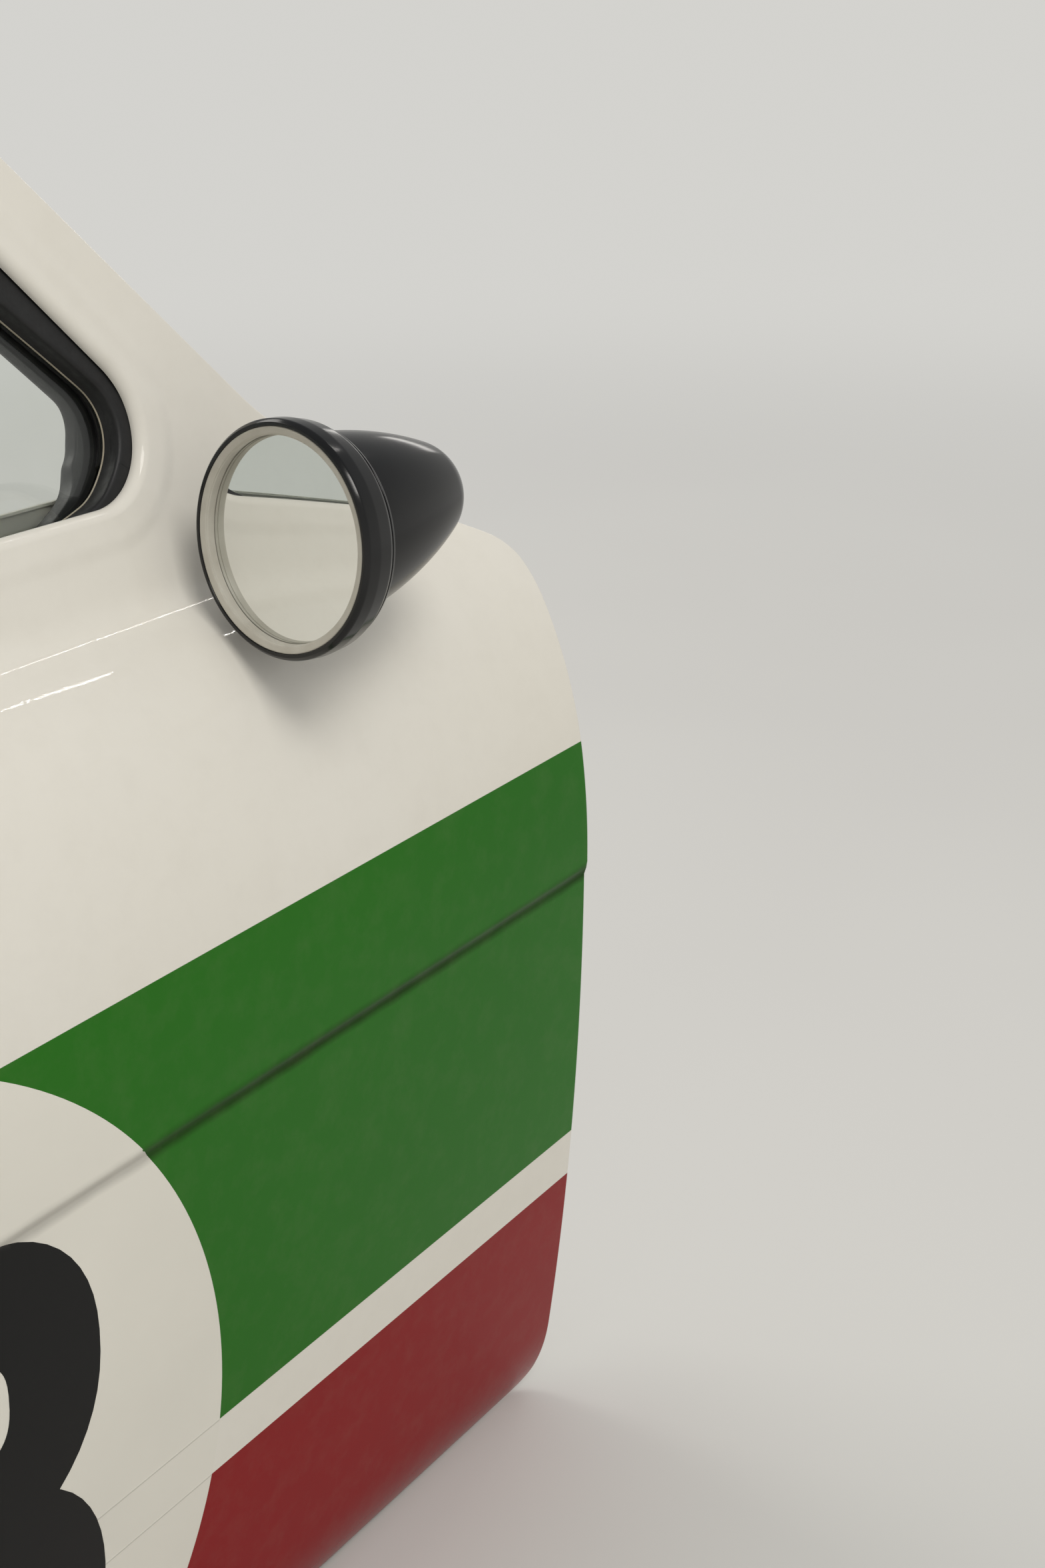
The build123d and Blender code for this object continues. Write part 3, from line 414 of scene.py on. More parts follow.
def triangulate(rings, extra, keep):
    """Delaunay triangles over closed rings and loose points; keep tells by the centres which regions stay."""
    pts = np.concatenate([*rings, extra])
    edges, start = [], 0
    for r in rings:
        edges += [(start + i, start + (i + 1) % len(r)) for i in range(len(r))]
        start += len(r)
    new, sides, tri, _, sources, _ = delaunay_2d_cdt([Vector(p) for p in pts], edges, [], 0, 1e-5)
    new = np.array([tuple(v) for v in new])
    tri = np.array([f for f in tri if len(f) == 3])
    a, b, c = (new[tri[:, k]] for k in range(3))
    area = (b - a)[:, 0] * (c - a)[:, 1] - (b - a)[:, 1] * (c - a)[:, 0]
    tri[area < 0.0] = tri[area < 0.0][:, ::-1]
    # a region that the rings enclose stays or goes as a whole, so slivers beside a ring can't go wrong
    walls = {tuple(sorted(e)) for e, source in zip(sides, sources) if source}
    root, beside = list(range(len(tri))), {}

    def find(i):
        while root[i] != i:
            root[i] = root[root[i]]
            i = root[i]
        return i

    for i, f in enumerate(tri.tolist()):
        for e in zip(f, f[1:] + f[:1]):
            e = (min(e), max(e))
            if e not in walls:
                j = beside.setdefault(e, i)
                root[find(i)] = find(j)
    region = np.array([find(i) for i in range(len(tri))])
    area = np.abs(area)
    whole = np.bincount(region, area, len(tri))
    kept = np.bincount(region, area * keep(new[tri].mean(1)), len(tri))
    return new, tri[((kept > 0.5 * whole) & (whole > 0.5))[region]]


def grid_points(coarse, turn):
    """A grid over the unrolled skin, whose rows stand closer where the section bends."""
    rows, s = [], OUT[:, 1].min()
    while s < OUT[:, 1].max():
        rows.append(s)
        heading, gap = np.interp(s, SEC_S, SEC_H), coarse
        while gap > 1.0 and abs(np.interp(s + gap, SEC_S, SEC_H) - heading) > math.radians(turn):
            gap *= 0.8
        s += gap
    return np.array([(x, s) for s in rows for x in np.arange(-DOOR_LEN, 0.0, coarse)])


def crease_points(x0, x1, gap, offsets):
    """Rows of points along the crease, at heights above its line."""
    xs = np.arange(x0, x1, gap)
    return np.concatenate([np.stack((xs, s_of_z(crease_z(xs) + du)), 1) for du in offsets])


# ---------------------------------------------------------------- skin and films
def skin_points():
    """Loose points of the outer face: a grid, denser beside the crease, the window and the valley."""
    grid = grid_points(8.0, 1.6)
    along, off = press_coords(grid)
    free = between(OUT, HOLE)(grid) & (np.abs(over_crease(grid)) > 11.0)
    free &= (OUT_EDGE.distance(grid) > 11.0) & (HOLE_EDGE.distance(grid) > 29.0)
    free &= ~((np.abs(off) < 11.0) & (along > -12.0) & (along < PRESS_LEN))
    crease = crease_points(-DOOR_LEN + 2.0, -2.0, 7.0, (-9.5, -7.2, -5.8, -4.8, -4.0, -3.2, -2.25, -1.3, -0.5, 0.3,
                                                       1.3, 2.8, 5.0, 8.5))
    valley = np.array([PRESS_A + PRESS_D * k + PRESS_N * off for k in np.arange(-12.0, PRESS_LEN, 4.5)
                       for off in (-9.5, -7.5, -5.5, -3.6, -1.8, 0.0, 1.8, 3.6, 5.5, 7.5, 9.5)])
    loose = np.concatenate((grid[free], crease, valley))
    ok = inside(loose, OUT) & (OUT_EDGE.distance(loose) > 3.0) & (HOLE_EDGE.distance(loose) > 26.0)
    rings = [OUT + OUT_N * d for d in (2.6, 4.2, 7.0)]
    rings += [HOLE - HOLE_N * d for d in (7.0, 9.0, 11.5, 13.5, 15.0, 16.5, 18.0, 19.5, 21.0, 22.5, 24.5)]
    extra = np.concatenate([loose[ok], *rings])
    return extra[inside(extra, OUT + OUT_N * (HEM_R + 0.3))]


def bend(r, turns, depth, mat, back=0.0):
    """Path rows round a bend in the sheet; back turns the normals to its other side."""
    return [(r * math.sin(b), depth - r * math.cos(b), a + back, b + back, mat) for a, b in zip(turns, turns[1:])]


def door_skin():
    sh = Shell()
    # outer face
    ring_o, ring_h = OUT + OUT_N * HEM_R, HOLE - HOLE_N * ROLL_R
    flat, tri = triangulate((ring_o, ring_h), skin_points(), between(ring_o, ring_h))
    n3 = surface_axes(flat)[0]
    ids = sh.points(surface(flat))
    sh.faces(ids[tri], n3[tri])
    # hem folded round the outline: its bend, its return, its edge, the fold's inside and the sheet's back
    right, half_turn = math.pi / 2.0, np.linspace(0.0, math.pi, 11)
    hem = bend(HEM_R, half_turn[:8], HEM_R, 0) + bend(HEM_R, half_turn[7:], HEM_R, 1)
    hem += [(HEM_R - d, depth, a, a, 1) for d, depth, a in (
        (HEM_W, 2 * HEM_R, math.pi), (HEM_W, 2 * HEM_R - SKIN_T, -right), (SKIN_T, 2 * HEM_R - SKIN_T, 0.0),
        (SKIN_T, SKIN_T, -right))]
    n, tx, ts = surface_axes(ring_o)
    way = -unit(tx * OUT_N[:, :1] + ts * OUT_N[:, 1:])
    back_o = sh.carry(ids[:len(ring_o)], surface(ring_o), n, way, hem, True)
    # window's edge: its roll, the reveal, the sheet's edge and the roll's inside
    inner = ROLL_R - SKIN_T
    roll = bend(ROLL_R, np.linspace(0.0, right, 10), ROLL_R, 0)
    roll += [(ROLL_R, REVEAL, right, right, 0), (inner, REVEAL, math.pi, math.pi, 1),
             (inner, ROLL_R, -right, -right, 1)]
    roll += bend(inner, np.linspace(right, 0.0, 7), ROLL_R, 1, math.pi)
    n, tx, ts = surface_axes(ring_h)
    way = unit(tx * HOLE_N[:, :1] + ts * HOLE_N[:, 1:])
    back_h = sh.carry(ids[len(ring_o):len(ring_o) + len(ring_h)], surface(ring_h), n, way, roll)
    # back of the sheet
    flat_o = OUT + OUT_N * SKIN_T
    grid = grid_points(18.0, 6.0)
    crease = crease_points(-DOOR_LEN + 2.0, -2.0, 16.0, (-10.0, -6.5, -5.0, -4.0, -3.0, -2.0, -1.0, 0.2, 2.0, 8.0))
    grid = np.concatenate((grid[np.abs(over_crease(grid)) > 12.0], crease))
    ok = between(OUT, HOLE)(grid) & (OUT_EDGE.distance(grid) > 5.0) & (HOLE_EDGE.distance(grid) > 14.0)
    flat, tri = triangulate((flat_o, ring_h), grid[ok], between(flat_o, ring_h))
    n3 = surface_axes(flat, SKIN_T)[0]
    extra = sh.points(surface(flat[len(flat_o) + len(ring_h):], SKIN_T))
    idx = np.concatenate((back_o, back_h, extra))
    sh.faces(idx[tri[:, ::-1]], -n3[tri[:, ::-1]], 1)
    return sh.build("door_skin_pressed", MAT["livery"], MAT["white"])


def decal(name, loops, low_face, top_face, mat, gap=6.0):
    """A thin closed film on the skin, between two heights over it. Closed outlines in (x, z) that overlap join."""
    loops = [to_flat(p) for p in loops]
    every = np.concatenate(loops)
    (x0, s0), (x1, s1) = every.min(0), every.max(0)
    grid = np.array([(x, s) for s in np.arange(s0, s1, gap) for x in np.arange(x0, x1, gap)])
    crease = crease_points(x0, x1, gap, (-8.0, -6.2, -5.2, -4.4, -3.6, -2.8, -2.0, -1.2, -0.4, 0.4, 1.4, 3.0, 6.0))
    grid = np.concatenate((grid[np.abs(over_crease(grid)) > 10.0], crease))

    def keep(mid):
        return np.any([inside(mid, p) for p in loops], 0)

    clear = np.all([Near(p).distance(grid) >= 1.0 for p in loops], 0)
    flat, tri = triangulate(loops, grid[keep(grid) & clear], keep)
    used, tri = np.unique(tri, return_inverse=True)
    flat, tri = flat[used], tri.reshape(-1, 3)
    n3 = surface_axes(flat)[0]
    sh = Shell()
    top, low = (sh.points(surface(flat, -lift)) for lift in (top_face, low_face))
    sh.faces(top[tri], n3[tri])
    sh.faces(low[tri[:, ::-1]], -n3[tri[:, ::-1]])
    edges = dict.fromkeys(e for t in tri.tolist() for e in zip(t, t[1:] + t[:1]))
    a, b = np.array([e for e in edges if e[::-1] not in edges]).T
    side = unit(np.cross(unit(surface(flat[b]) - surface(flat[a])), n3[a]))
    sh.faces(np.stack((top[b], top[a], low[a], low[b]), 1), np.stack((side,) * 4, 1))
    return sh.build(name, mat)


# ---------------------------------------------------------------- materials
class Nodes:
    """The node tree of a material or a world, with short ways to make and feed its nodes."""

    def __init__(self, owner):
        self.owner = bpy.data.materials.new(owner) if isinstance(owner, str) else owner
        self.owner.use_nodes = True
        self.tree = self.owner.node_tree
        self.shader = self.tree.nodes.get("Principled BSDF") or self.tree.nodes["Background"]
        self.coords = self.node("TexCoord").outputs

    def feed(self, socket, value):
        """Gives an input its value, or the output that it follows."""
        if isinstance(value, bpy.types.NodeSocket):
            self.tree.links.new(value, socket)
        else:
            socket.default_value = value

    def node(self, kind, inputs=None, **values):
        n = self.tree.nodes.new("ShaderNode" + kind)
        for k, v in values.items():
            setattr(n, k, v)
        for k, v in (inputs or {}).items():
            self.feed(n.inputs[k], v)
        return n

    def set(self, **values):
        """Feeds the shader's own inputs."""
        for k, v in values.items():
            self.feed(self.shader.inputs[k.replace("_", " ")], v)
        return self

    def math(self, op, *args, clamp=False):
        return self.node("Math", dict(enumerate(args)), operation=op, use_clamp=clamp).outputs[0]

    def mix(self, fac, a, b):
        return self.node("Mix", {0: fac, 6: a, 7: b}, data_type="RGBA").outputs[2]

    def noise(self, scale, detail=3.0, rough=0.5):
        return self.node("TexNoise", {"Scale": scale, "Detail": detail, "Roughness": rough,
                                      "Vector": self.coords["Object"]}).outputs["Fac"]

    def spread(self, value, low, high, lo=0.3, hi=0.7):
        """A value's range from lo to hi, spread over low to high."""
        return self.node("MapRange", {"From Min": lo, "From Max": hi, "To Min": low, "To Max": high,
                                      "Value": value}).outputs[0]

    def bump(self, *layers):
        """layers are (height, distance in metres, strength)."""
        last = None
        for height, distance, strength in layers:
            b = self.node("Bump", {"Strength": strength, "Distance": distance, "Height": height})
            if last is not None:
                self.feed(b.inputs["Normal"], last)
            last = b.outputs["Normal"]
        self.set(Normal=last)
        return last

    def drawing(self):
        """The drawing frame's x and z in mm."""
        at = self.node("SeparateXYZ", {0: self.coords["Object"]}).outputs
        return [self.math("MULTIPLY_ADD", at[k], 1.0 / MM, float(ORIGIN[k])) for k in (0, 2)]

    def above(self, x, z, line):
        """Height over a line of the side view, given as its height at x = 0 and its slope."""
        return self.math("SUBTRACT", z, self.math("MULTIPLY_ADD", x, line[1], line[0]))

    def seen_directly(self):
        """1 for camera, glossy and transmission rays, 0 for the diffuse light that falls on the object."""
        rays = self.node("LightPath").outputs
        out = rays["Is Camera Ray"]
        for kind in ("Is Glossy Ray", "Is Transmission Ray"):
            out = self.math("MAXIMUM", out, rays[kind])
        return out


def srgb(r, g, b):
    return tuple(c / 12.92 if c <= 0.04045 else ((c + 0.055) / 1.055) ** 2.4 for c in (r, g, b)) + (1.0,)


def scaled(colour, by, more=0.0):
    return tuple(min(1.0, c * by + more) for c in colour[:3]) + (1.0,)


WHITE, WHITE_OLD = srgb(0.896, 0.881, 0.843), srgb(0.880, 0.862, 0.815)
GREEN, GREEN_DEEP = srgb(0.125, 0.42, 0.035), srgb(0.115, 0.40, 0.035)
RED, RED_DEEP = srgb(0.54, 0.035, 0.05), srgb(0.515, 0.035, 0.05)
PALE, PALE_GREY, DUSK = srgb(0.83, 0.826, 0.81), srgb(0.82, 0.815, 0.80), srgb(0.60, 0.61, 0.62)
# the first colour here is the dark brown of the painted shade along the crease
CREASE_SHADE, DUST, EDGE_SHADE = srgb(0.12, 0.10, 0.075), srgb(0.62, 0.58, 0.50), srgb(0.55, 0.53, 0.48)


def crease_painted_shade(m, x, z, colour, most):
    """Painted shade along the crease: the colour darkened towards a dark brown and the coat thinned there, soft along
    both its edges.
    """
    u = m.math("ADD", m.above(x, z, (CREASE_Z, CREASE_FALL)), m.spread(m.noise(45.0), -0.5, 0.5))
    start = m.math("MULTIPLY_ADD", u, 0.25, 2.50, clamp=True)
    stop = m.math("MULTIPLY_ADD", u, -0.16, 0.50, clamp=True)
    patch = m.spread(m.noise(14.0, 5.0, 0.6), most * 0.75, most)
    painted_shade = m.math("MULTIPLY", m.math("MULTIPLY", start, stop), patch)
    m.set(Coat_Weight=m.math("MULTIPLY_ADD", painted_shade, -0.5, 0.55))
    return m.mix(painted_shade, colour, CREASE_SHADE)


def paint(name, livery):
    """Gloss coachwork paint: slight orange peel, faint fade and dust, and the livery's bands."""
    m = Nodes(name).set(Specular_IOR_Level=0.0, Coat_Weight=0.55, Coat_Roughness=0.03, Coat_IOR=1.45)
    fade = m.spread(m.noise(3.2, 4.0), 0.0, 1.0)
    colour = m.mix(fade, WHITE, WHITE_OLD)
    layers = [(m.noise(16.0, 1.0), 0.0006, 0.10), (m.noise(420.0, 2.0), 0.00006, 0.35)]
    if livery:
        x, z = m.drawing()
        top, pin, low = (m.math("MULTIPLY_ADD", m.above(x, z, line), 4.0, 0.5, clamp=True)
                         for line in (GREEN_TOP, PIN_TOP, PIN_LOW))
        green = m.math("SUBTRACT", pin, top, clamp=True)
        red = m.math("SUBTRACT", 1.0, low, clamp=True)
        colour = m.mix(green, colour, m.mix(fade, GREEN, GREEN_DEEP))
        colour = m.mix(red, colour, m.mix(fade, RED, RED_DEEP))
        layers.append((m.math("ADD", green, red, clamp=True), 0.00012, 0.6))
        # painted shade darkens the paint along the crease
        colour = crease_painted_shade(m, x, z, colour, 0.72)
    dust = m.spread(m.noise(60.0, 6.0, 0.65), 0.0, 0.05, 0.45, 0.8)
    m.set(Base_Color=m.mix(dust, colour, DUST), Roughness=m.spread(m.noise(9.0, 4.0), 0.36, 0.48),
          Coat_Normal=m.bump(*layers))
    return m.owner


def vinyl_film(name, base, ridges):
    """Self-adhesive film: satin-gloss, with the edges of what lies under it showing through."""
    m = Nodes(name).set(Specular_IOR_Level=0.0, Coat_Weight=0.55, Coat_Roughness=0.06)
    colour = m.mix(m.spread(m.noise(7.0, 4.0), 0.0, 1.0), base, scaled(base, 0.93))
    layers = [(m.noise(22.0, 2.0), 0.0004, 0.12), (m.noise(700.0, 2.0), 0.00004, 0.25)]
    if ridges:
        x, z = m.drawing()
        total = 0.0
        for line in (PIN_TOP, PIN_LOW):
            off = m.math("ABSOLUTE", m.math("MULTIPLY", m.above(x, z, line), 1.0 / 0.8))
            total = m.math("ADD", total, m.math("SUBTRACT", 1.0, off, clamp=True), clamp=True)
        layers.append((total, 0.0003, 0.9))
        colour = m.mix(m.math("MULTIPLY", total, 0.16), colour, EDGE_SHADE)
        # painted shade along the crease, fainter on the film
        colour = crease_painted_shade(m, x, z, colour, 0.34)
    m.set(Base_Color=colour, Roughness=m.spread(m.noise(40.0, 4.0), 0.30, 0.44))
    m.bump(*layers)
    return m.owner


def finish_of(name, base, rough, spread, grain, bump, worn=None, **more):
    """A plain finish with its own grain: base colour, roughness and its spread, grain size, bump depth."""
    m = Nodes(name).set(**more)
    colour = m.mix(m.spread(m.noise(grain * 0.12, 4.0), 0.0, 1.0), base, worn or scaled(base, 1.25, 0.003))
    m.set(Base_Color=colour, Roughness=m.spread(m.noise(grain * 0.3, 5.0, 0.6), rough - spread, rough + spread))
    m.bump((m.noise(grain, 3.0, 0.6), bump, 0.5))
    return m.owner


def leather_grain(name, base):
    """Black vinyl with a fine pebbled grain."""
    m = Nodes(name).set(Coat_Weight=0.15, Coat_Roughness=0.3)
    cells = m.node("TexVoronoi", {"Scale": 620.0, "Vector": m.coords["Object"]}, feature="DISTANCE_TO_EDGE")
    pebble = m.math("MULTIPLY", cells.outputs["Distance"], 2.2, clamp=True)
    m.set(Base_Color=m.mix(m.spread(m.noise(12.0, 4.0), 0.0, 1.0), base, scaled(base, 1.5)),
          Roughness=m.spread(m.noise(50.0, 4.0), 0.42, 0.58))
    m.bump((pebble, 0.00025, 0.7), (m.noise(90.0), 0.0004, 0.25))
    return m.owner


def pane(name, clean, soiled, soil, rough, **more):
    """Clear or silvered glass: colours clean and soiled, then noise and ranges of the soil and the roughness."""
    m = Nodes(name).set(**more)
    m.set(Base_Color=m.mix(m.spread(m.noise(soil[0], 6.0, soil[1]), *soil[2:]), clean, soiled),
          Roughness=m.spread(m.noise(rough[0], 6.0, 0.7), *rough[1:], 0.45, 0.85))
    return m.owner


MAT = {
    "livery": paint("paint_livery", True),
    "white": paint("paint_white", False),
    "disc": vinyl_film("film_white", srgb(0.90, 0.885, 0.84), True),
    "number": vinyl_film("film_black", srgb(0.035, 0.035, 0.037), False),
    "glass": pane("glass_clear", srgb(0.93, 0.945, 0.93), srgb(0.91, 0.925, 0.905), (14.0, 0.65, 0.0, 1.0, 0.4, 0.8),
                  (30.0, 0.0, 0.006), Transmission_Weight=1.0, IOR=1.47),
    "rubber": finish_of("rubber_black", srgb(0.06, 0.06, 0.062), 0.52, 0.08, 900.0, 0.00012),
    "trim": finish_of("plastic_trim", srgb(0.07, 0.07, 0.072), 0.48, 0.08, 1400.0, 0.00015),
    "vinyl": leather_grain("vinyl_black", srgb(0.085, 0.083, 0.08)),
    "chrome": finish_of("chrome", srgb(0.80, 0.80, 0.80), 0.09, 0.04, 700.0, 0.00002, srgb(0.74, 0.735, 0.72),
                        Metallic=1.0),
    "zinc": finish_of("zinc_plate", srgb(0.66, 0.64, 0.57), 0.34, 0.08, 900.0, 0.00006, srgb(0.55, 0.52, 0.43),
                      Metallic=1.0),
    "steel": finish_of("pin_steel", srgb(0.62, 0.62, 0.62), 0.27, 0.07, 800.0, 0.00005, srgb(0.5, 0.49, 0.47),
                       Metallic=1.0),
    "black": finish_of("mirror_gloss", srgb(0.05, 0.05, 0.052), 0.5, 0.06, 260.0, 0.00003,
                       Specular_IOR_Level=0.0, Coat_Weight=0.8, Coat_Roughness=0.15, Coat_IOR=1.5),
    "grey": finish_of("ring_satin", srgb(0.74, 0.725, 0.68), 0.36, 0.06, 500.0, 0.00005, srgb(0.68, 0.66, 0.61)),
    "silver": pane("mirror_silver", srgb(0.91, 0.915, 0.905), srgb(0.6, 0.58, 0.54),
                   (300.0, 0.7, 0.0, 0.06, 0.55, 0.9), (40.0, 0.006, 0.035), Metallic=1.0),
    "cup": finish_of("cup_plastic", srgb(0.10, 0.10, 0.10), 0.5, 0.08, 900.0, 0.0001),
    "thread": finish_of("thread_grey", srgb(0.50, 0.49, 0.46), 0.8, 0.06, 3000.0, 0.0001),
    # a pale strip's colour: a painted highlight along the glass's edge
    "edge": finish_of("pane_edge", srgb(0.60, 0.57, 0.50), 0.30, 0.05, 500.0, 0.00003),
}

# ---------------------------------------------------------------- skin, disc and number
skin = door_skin()
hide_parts("door_skin")
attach(skin, "door")


def disc_outline(points=220, margin=3.0, least=1.0):
    """The disc's circle, pulled in where it would pass the door's foot, without points closer than the least."""
    a = np.arange(points) * 2.0 * math.pi / points
    x, z = DISC[0] + DISC[2] * np.cos(a), DISC[1] + DISC[2] * np.sin(a)
    foot = OUTLINE[0][1] + margin + (OUTLINE[-1][1] - OUTLINE[0][1]) * (-x / DOOR_LEN)
    pts = np.stack((x, np.maximum(z, foot)), 1)
    kept = [pts[0]]
    for q in pts[1:]:
        if np.linalg.norm(q - kept[-1]) > least:
            kept.append(q)
    return np.array(kept)


def ribbon(p, width=NUM_STROKE):
    """A closed outline round a smooth centre line."""
    t = unit(np.gradient(p, axis=0))
    n = np.stack((-t[:, 1], t[:, 0]), 1) * width / 2.0
    return np.concatenate((p + n, (p - n)[::-1]))


def bow(cx, low, high, a0, a1):
    """The middle of a stroke round part of a squared oval, from angle a0 to a1 in degrees."""
    a = np.radians(np.linspace(a0, a1, 40))
    c, s = (np.sign(t) * np.abs(t) ** (2 / NUM_SQUARE) for t in (np.cos(a), np.sin(a)))
    rx, rz = (NUM_W - NUM_STROKE) / 2.0, (high - low - NUM_STROKE) / 2.0
    return np.stack((cx + rx * c, (low + high) / 2.0 + rz * s), 1)


def digit_three(cx):
    mid, lap = (NUM_LOW + NUM_HIGH) / 2.0 + 6.0, NUM_STROKE * 0.30
    bar = np.stack((np.linspace(cx - NUM_W * 0.18, cx + 6.0, 8), np.full(8, mid)), 1)
    return [ribbon(bow(cx, mid - lap, NUM_HIGH, 172, -92)), ribbon(bow(cx, NUM_LOW, mid + lap, 92, -172)),
            ribbon(bar, NUM_STROKE * 0.62)]


def digit_two(cx):
    r = NUM_W / 2.0
    top = bow(cx, NUM_HIGH - NUM_W * 1.04, NUM_HIGH, 172, -28)
    end = np.array((cx - r + NUM_STROKE * 0.62, NUM_LOW + NUM_STROKE * 0.6))
    fall = top[-1] + (end - top[-1]) * np.linspace(0.0, 1.0, 14)[1:, None]
    x, z = cx + r * np.array((-1, 1, 1, -1)), NUM_LOW + NUM_STROKE * 0.9 * np.array((0, 0, 1, 1))
    return [ribbon(np.concatenate((top, fall))), np.stack((x, z), 1)]


disc = decal("start_disc", [disc_outline()], *DISC_FILM, MAT["disc"])
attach(disc, "door")
number = decal("start_number", digit_three(NUM_THREE_X) + digit_two(NUM_TWO_X), *NUM_FILM, MAT["number"])
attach(number, "door")


# ---------------------------------------------------------------- rubber round the window
SILL_Z, SILL_END_X = 239.0, -230.0


def clear_of_sill(x, z, rise, run=62.0):
    """0 along the sill, 1 up the sides; in the front corner it grows over the run along the sill."""
    return 1.0 - (1.0 - smooth((z - SILL_Z) / rise)) * (1.0 - smooth((x - SILL_END_X + run) / run))


def ahead(x, z):
    """How far the skin's opening stands ahead of the frame's, along the front pillar."""
    return (8.8 - (z - BELT_Z) / 76.0) * smooth((x + 620.0) / 90.0)


def up_pillar(z, more):
    """What a lap gains from the corner up to the pillar."""
    return more * smooth((z - 266.0) / 135.0)


def seal_lap(x, z):
    """How far the rubber reaches over the glass: below the sill's edge at the waist, wide up the pillar."""
    return -4.5 + (5.4 + 0.8 * ahead(x, z)) * clear_of_sill(x, z, 24.0) + up_pillar(z, 12.0)


def rubber_rows(table):
    """Rows of offset from the opening's edge, share of the lap added to it, and depth under the outer face."""
    return lambda x, z: [(d + k * seal_lap(x, z), depth + 0.0 * z) for d, k, depth in table]


def trim_rows(x, z):
    """The inner garnish: wraps the pressing's lip above the waist and drops into the slot along it."""
    up = clear_of_sill(x, z, 10.0)
    corner = 4.8 * (1.0 - smooth((z - 262.0) / 34.0))
    lap = -4.3 + (9.4 + corner + ahead(x, z)) * up + up_pillar(z, 8.0)
    front = 20.5 + 4.38 * up
    edge = np.minimum(seal_lap(x, z) - 6.0, lap - 2.0)
    foot, low = -12.0 + 0.0 * z, np.minimum(-8.0, lap - 7.0)
    rows = [(foot, 26.4), (edge, 26.4), (edge, front), (lap - 0.9, front), (lap - 0.2, front + 0.5),
            (lap, front + 1.6), (lap, 31.0), (lap - 0.7, 33.6), (lap - 2.5, 35.6), (lap - 5.5, 36.8), (low, 37.1),
            (foot, 37.1)]
    return [(off, depth + 0.0 * z) for off, depth in rows]


def sweep(name, which, rows, mat, ends=True):
    """Carries a profile along the window's edge; rows gives offsets and depths for the places x, z."""
    flat, n = HOLE[which], HOLE_N[which]
    z = np.interp(flat[:, 1], SEC_S, SEC_Z)
    pts = np.stack([surface(flat + n * off[:, None], depth) for off, depth in rows(flat[:, 0], z)], 1)
    return solid(name, *skin_over(row(pts), ends), mat, 50.0)


FACE = ((-2.4, 1), (-1.2, 1, 6.5), (-0.4, 1, 7.1), (0, 1, 8.0), (-0.2, 1, 11.0), (0.1, 1, 13.6), (0.8, 1, 15.0),
        (0.9, 1, 15.4), (0.6, 1, 15.85))
CHANNEL = ((-12.4, 0, 6.3), (*FACE[0], 6.3), *FACE[1:], (-8.0, 0, 15.85), (-8.0, 0, 20.15), (-0.4, 1, 20.15),
           (0, 1, 20.6), (0, 1, 22.4), (-0.7, 1, 24.1), (-2.0, 1, 24.8), (-12.4, 0, 24.8))
WIPER = ((-11.0, 0, 6.4), (*FACE[0], 6.4), *FACE[1:], (-11.0, 0, 15.85))
# a thin pale strip on the rubber's lip beside the glass: a painted highlight of the glass's edge
HIGHLIGHT_STRIP_ROWS = ((1.0, 1, 15.3), (1.4, 1, 15.4), (1.5, 1, 15.85), (1.0, 1, 15.85))


def one_run(mask):
    """The indices where the mask holds, as one unbroken run round the loop."""
    idx = np.flatnonzero(mask)
    gap = np.flatnonzero(np.diff(idx) > 1)
    return np.roll(idx, -int(gap[0]) - 1) if len(gap) else idx


above_waist = np.interp(HOLE[:, 1], SEC_S, SEC_Z) > 250.0
high, low = one_run(above_waist), one_run(~above_waist)
low = np.concatenate(((low[:1] - 1) % len(HOLE), low, (low[-1:] + 1) % len(HOLE)))
around = np.arange(len(HOLE))
for ob, node, slot_name in (
        (sweep("window_channel", high, rubber_rows(CHANNEL), MAT["rubber"]), "window_seal", "seal_rubber"),
        (sweep("waist_wiper", low, rubber_rows(WIPER), MAT["rubber"]), "outer_waist_seal", "seal_rubber"),
        (sweep("window_inner_trim", around, trim_rows, MAT["trim"], False), "inner_waist_rail", "black_trim"),
        # the pale strip is a painted highlight along the glass's edge
        (sweep("glass_line_highlight_strip", around, rubber_rows(HIGHLIGHT_STRIP_ROWS), MAT["edge"], False), None, "seal_rubber")):
    if node:
        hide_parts(node)
    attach(ob, "door")

# ---------------------------------------------------------------- mirror
GLASS_C = np.array((-228.0, 20.0, 228.0))
GLASS_R, GLASS_T = 47.6, 2.2
RIM_BORE, RIM_R = 51.1, 54.8
COLLAR_R, COLLAR_FROM = 47.4, 4.6
SHELL_R, SHELL_L, SHELL_T, NOSE_R = 44.4, 103.2, 2.2, 27.0
RIM_FRONT, RIM_BACK, BEZEL_FRONT, BEZEL_BACK = 6.2, 16.2, 5.9, 4.3
BALL = np.array((-172.0, 26.0, 225.0))
FOOT_X, FOOT_Z, FOOT_THICK = -165.0, 213.0, 9.0
STEM_ROOM, STEM_TURN = 7.6, 13.0


def axis_from(azimuth, pitch):
    a, e = math.radians(azimuth), math.radians(pitch)
    return np.array((math.cos(a) * math.cos(e), math.sin(a) * math.cos(e), math.sin(e)))


RIM_AXIS, SHELL_AXIS = axis_from(-5.5, -4.5), axis_from(-8.4, 4.7)


def across(axis):
    """Two directions square to an axis and to each other."""
    u = unit(np.cross((0.0, 0.0, 1.0) if abs(axis[2]) < 0.9 else (1.0, 0.0, 0.0), axis))
    return u, np.cross(axis, u)


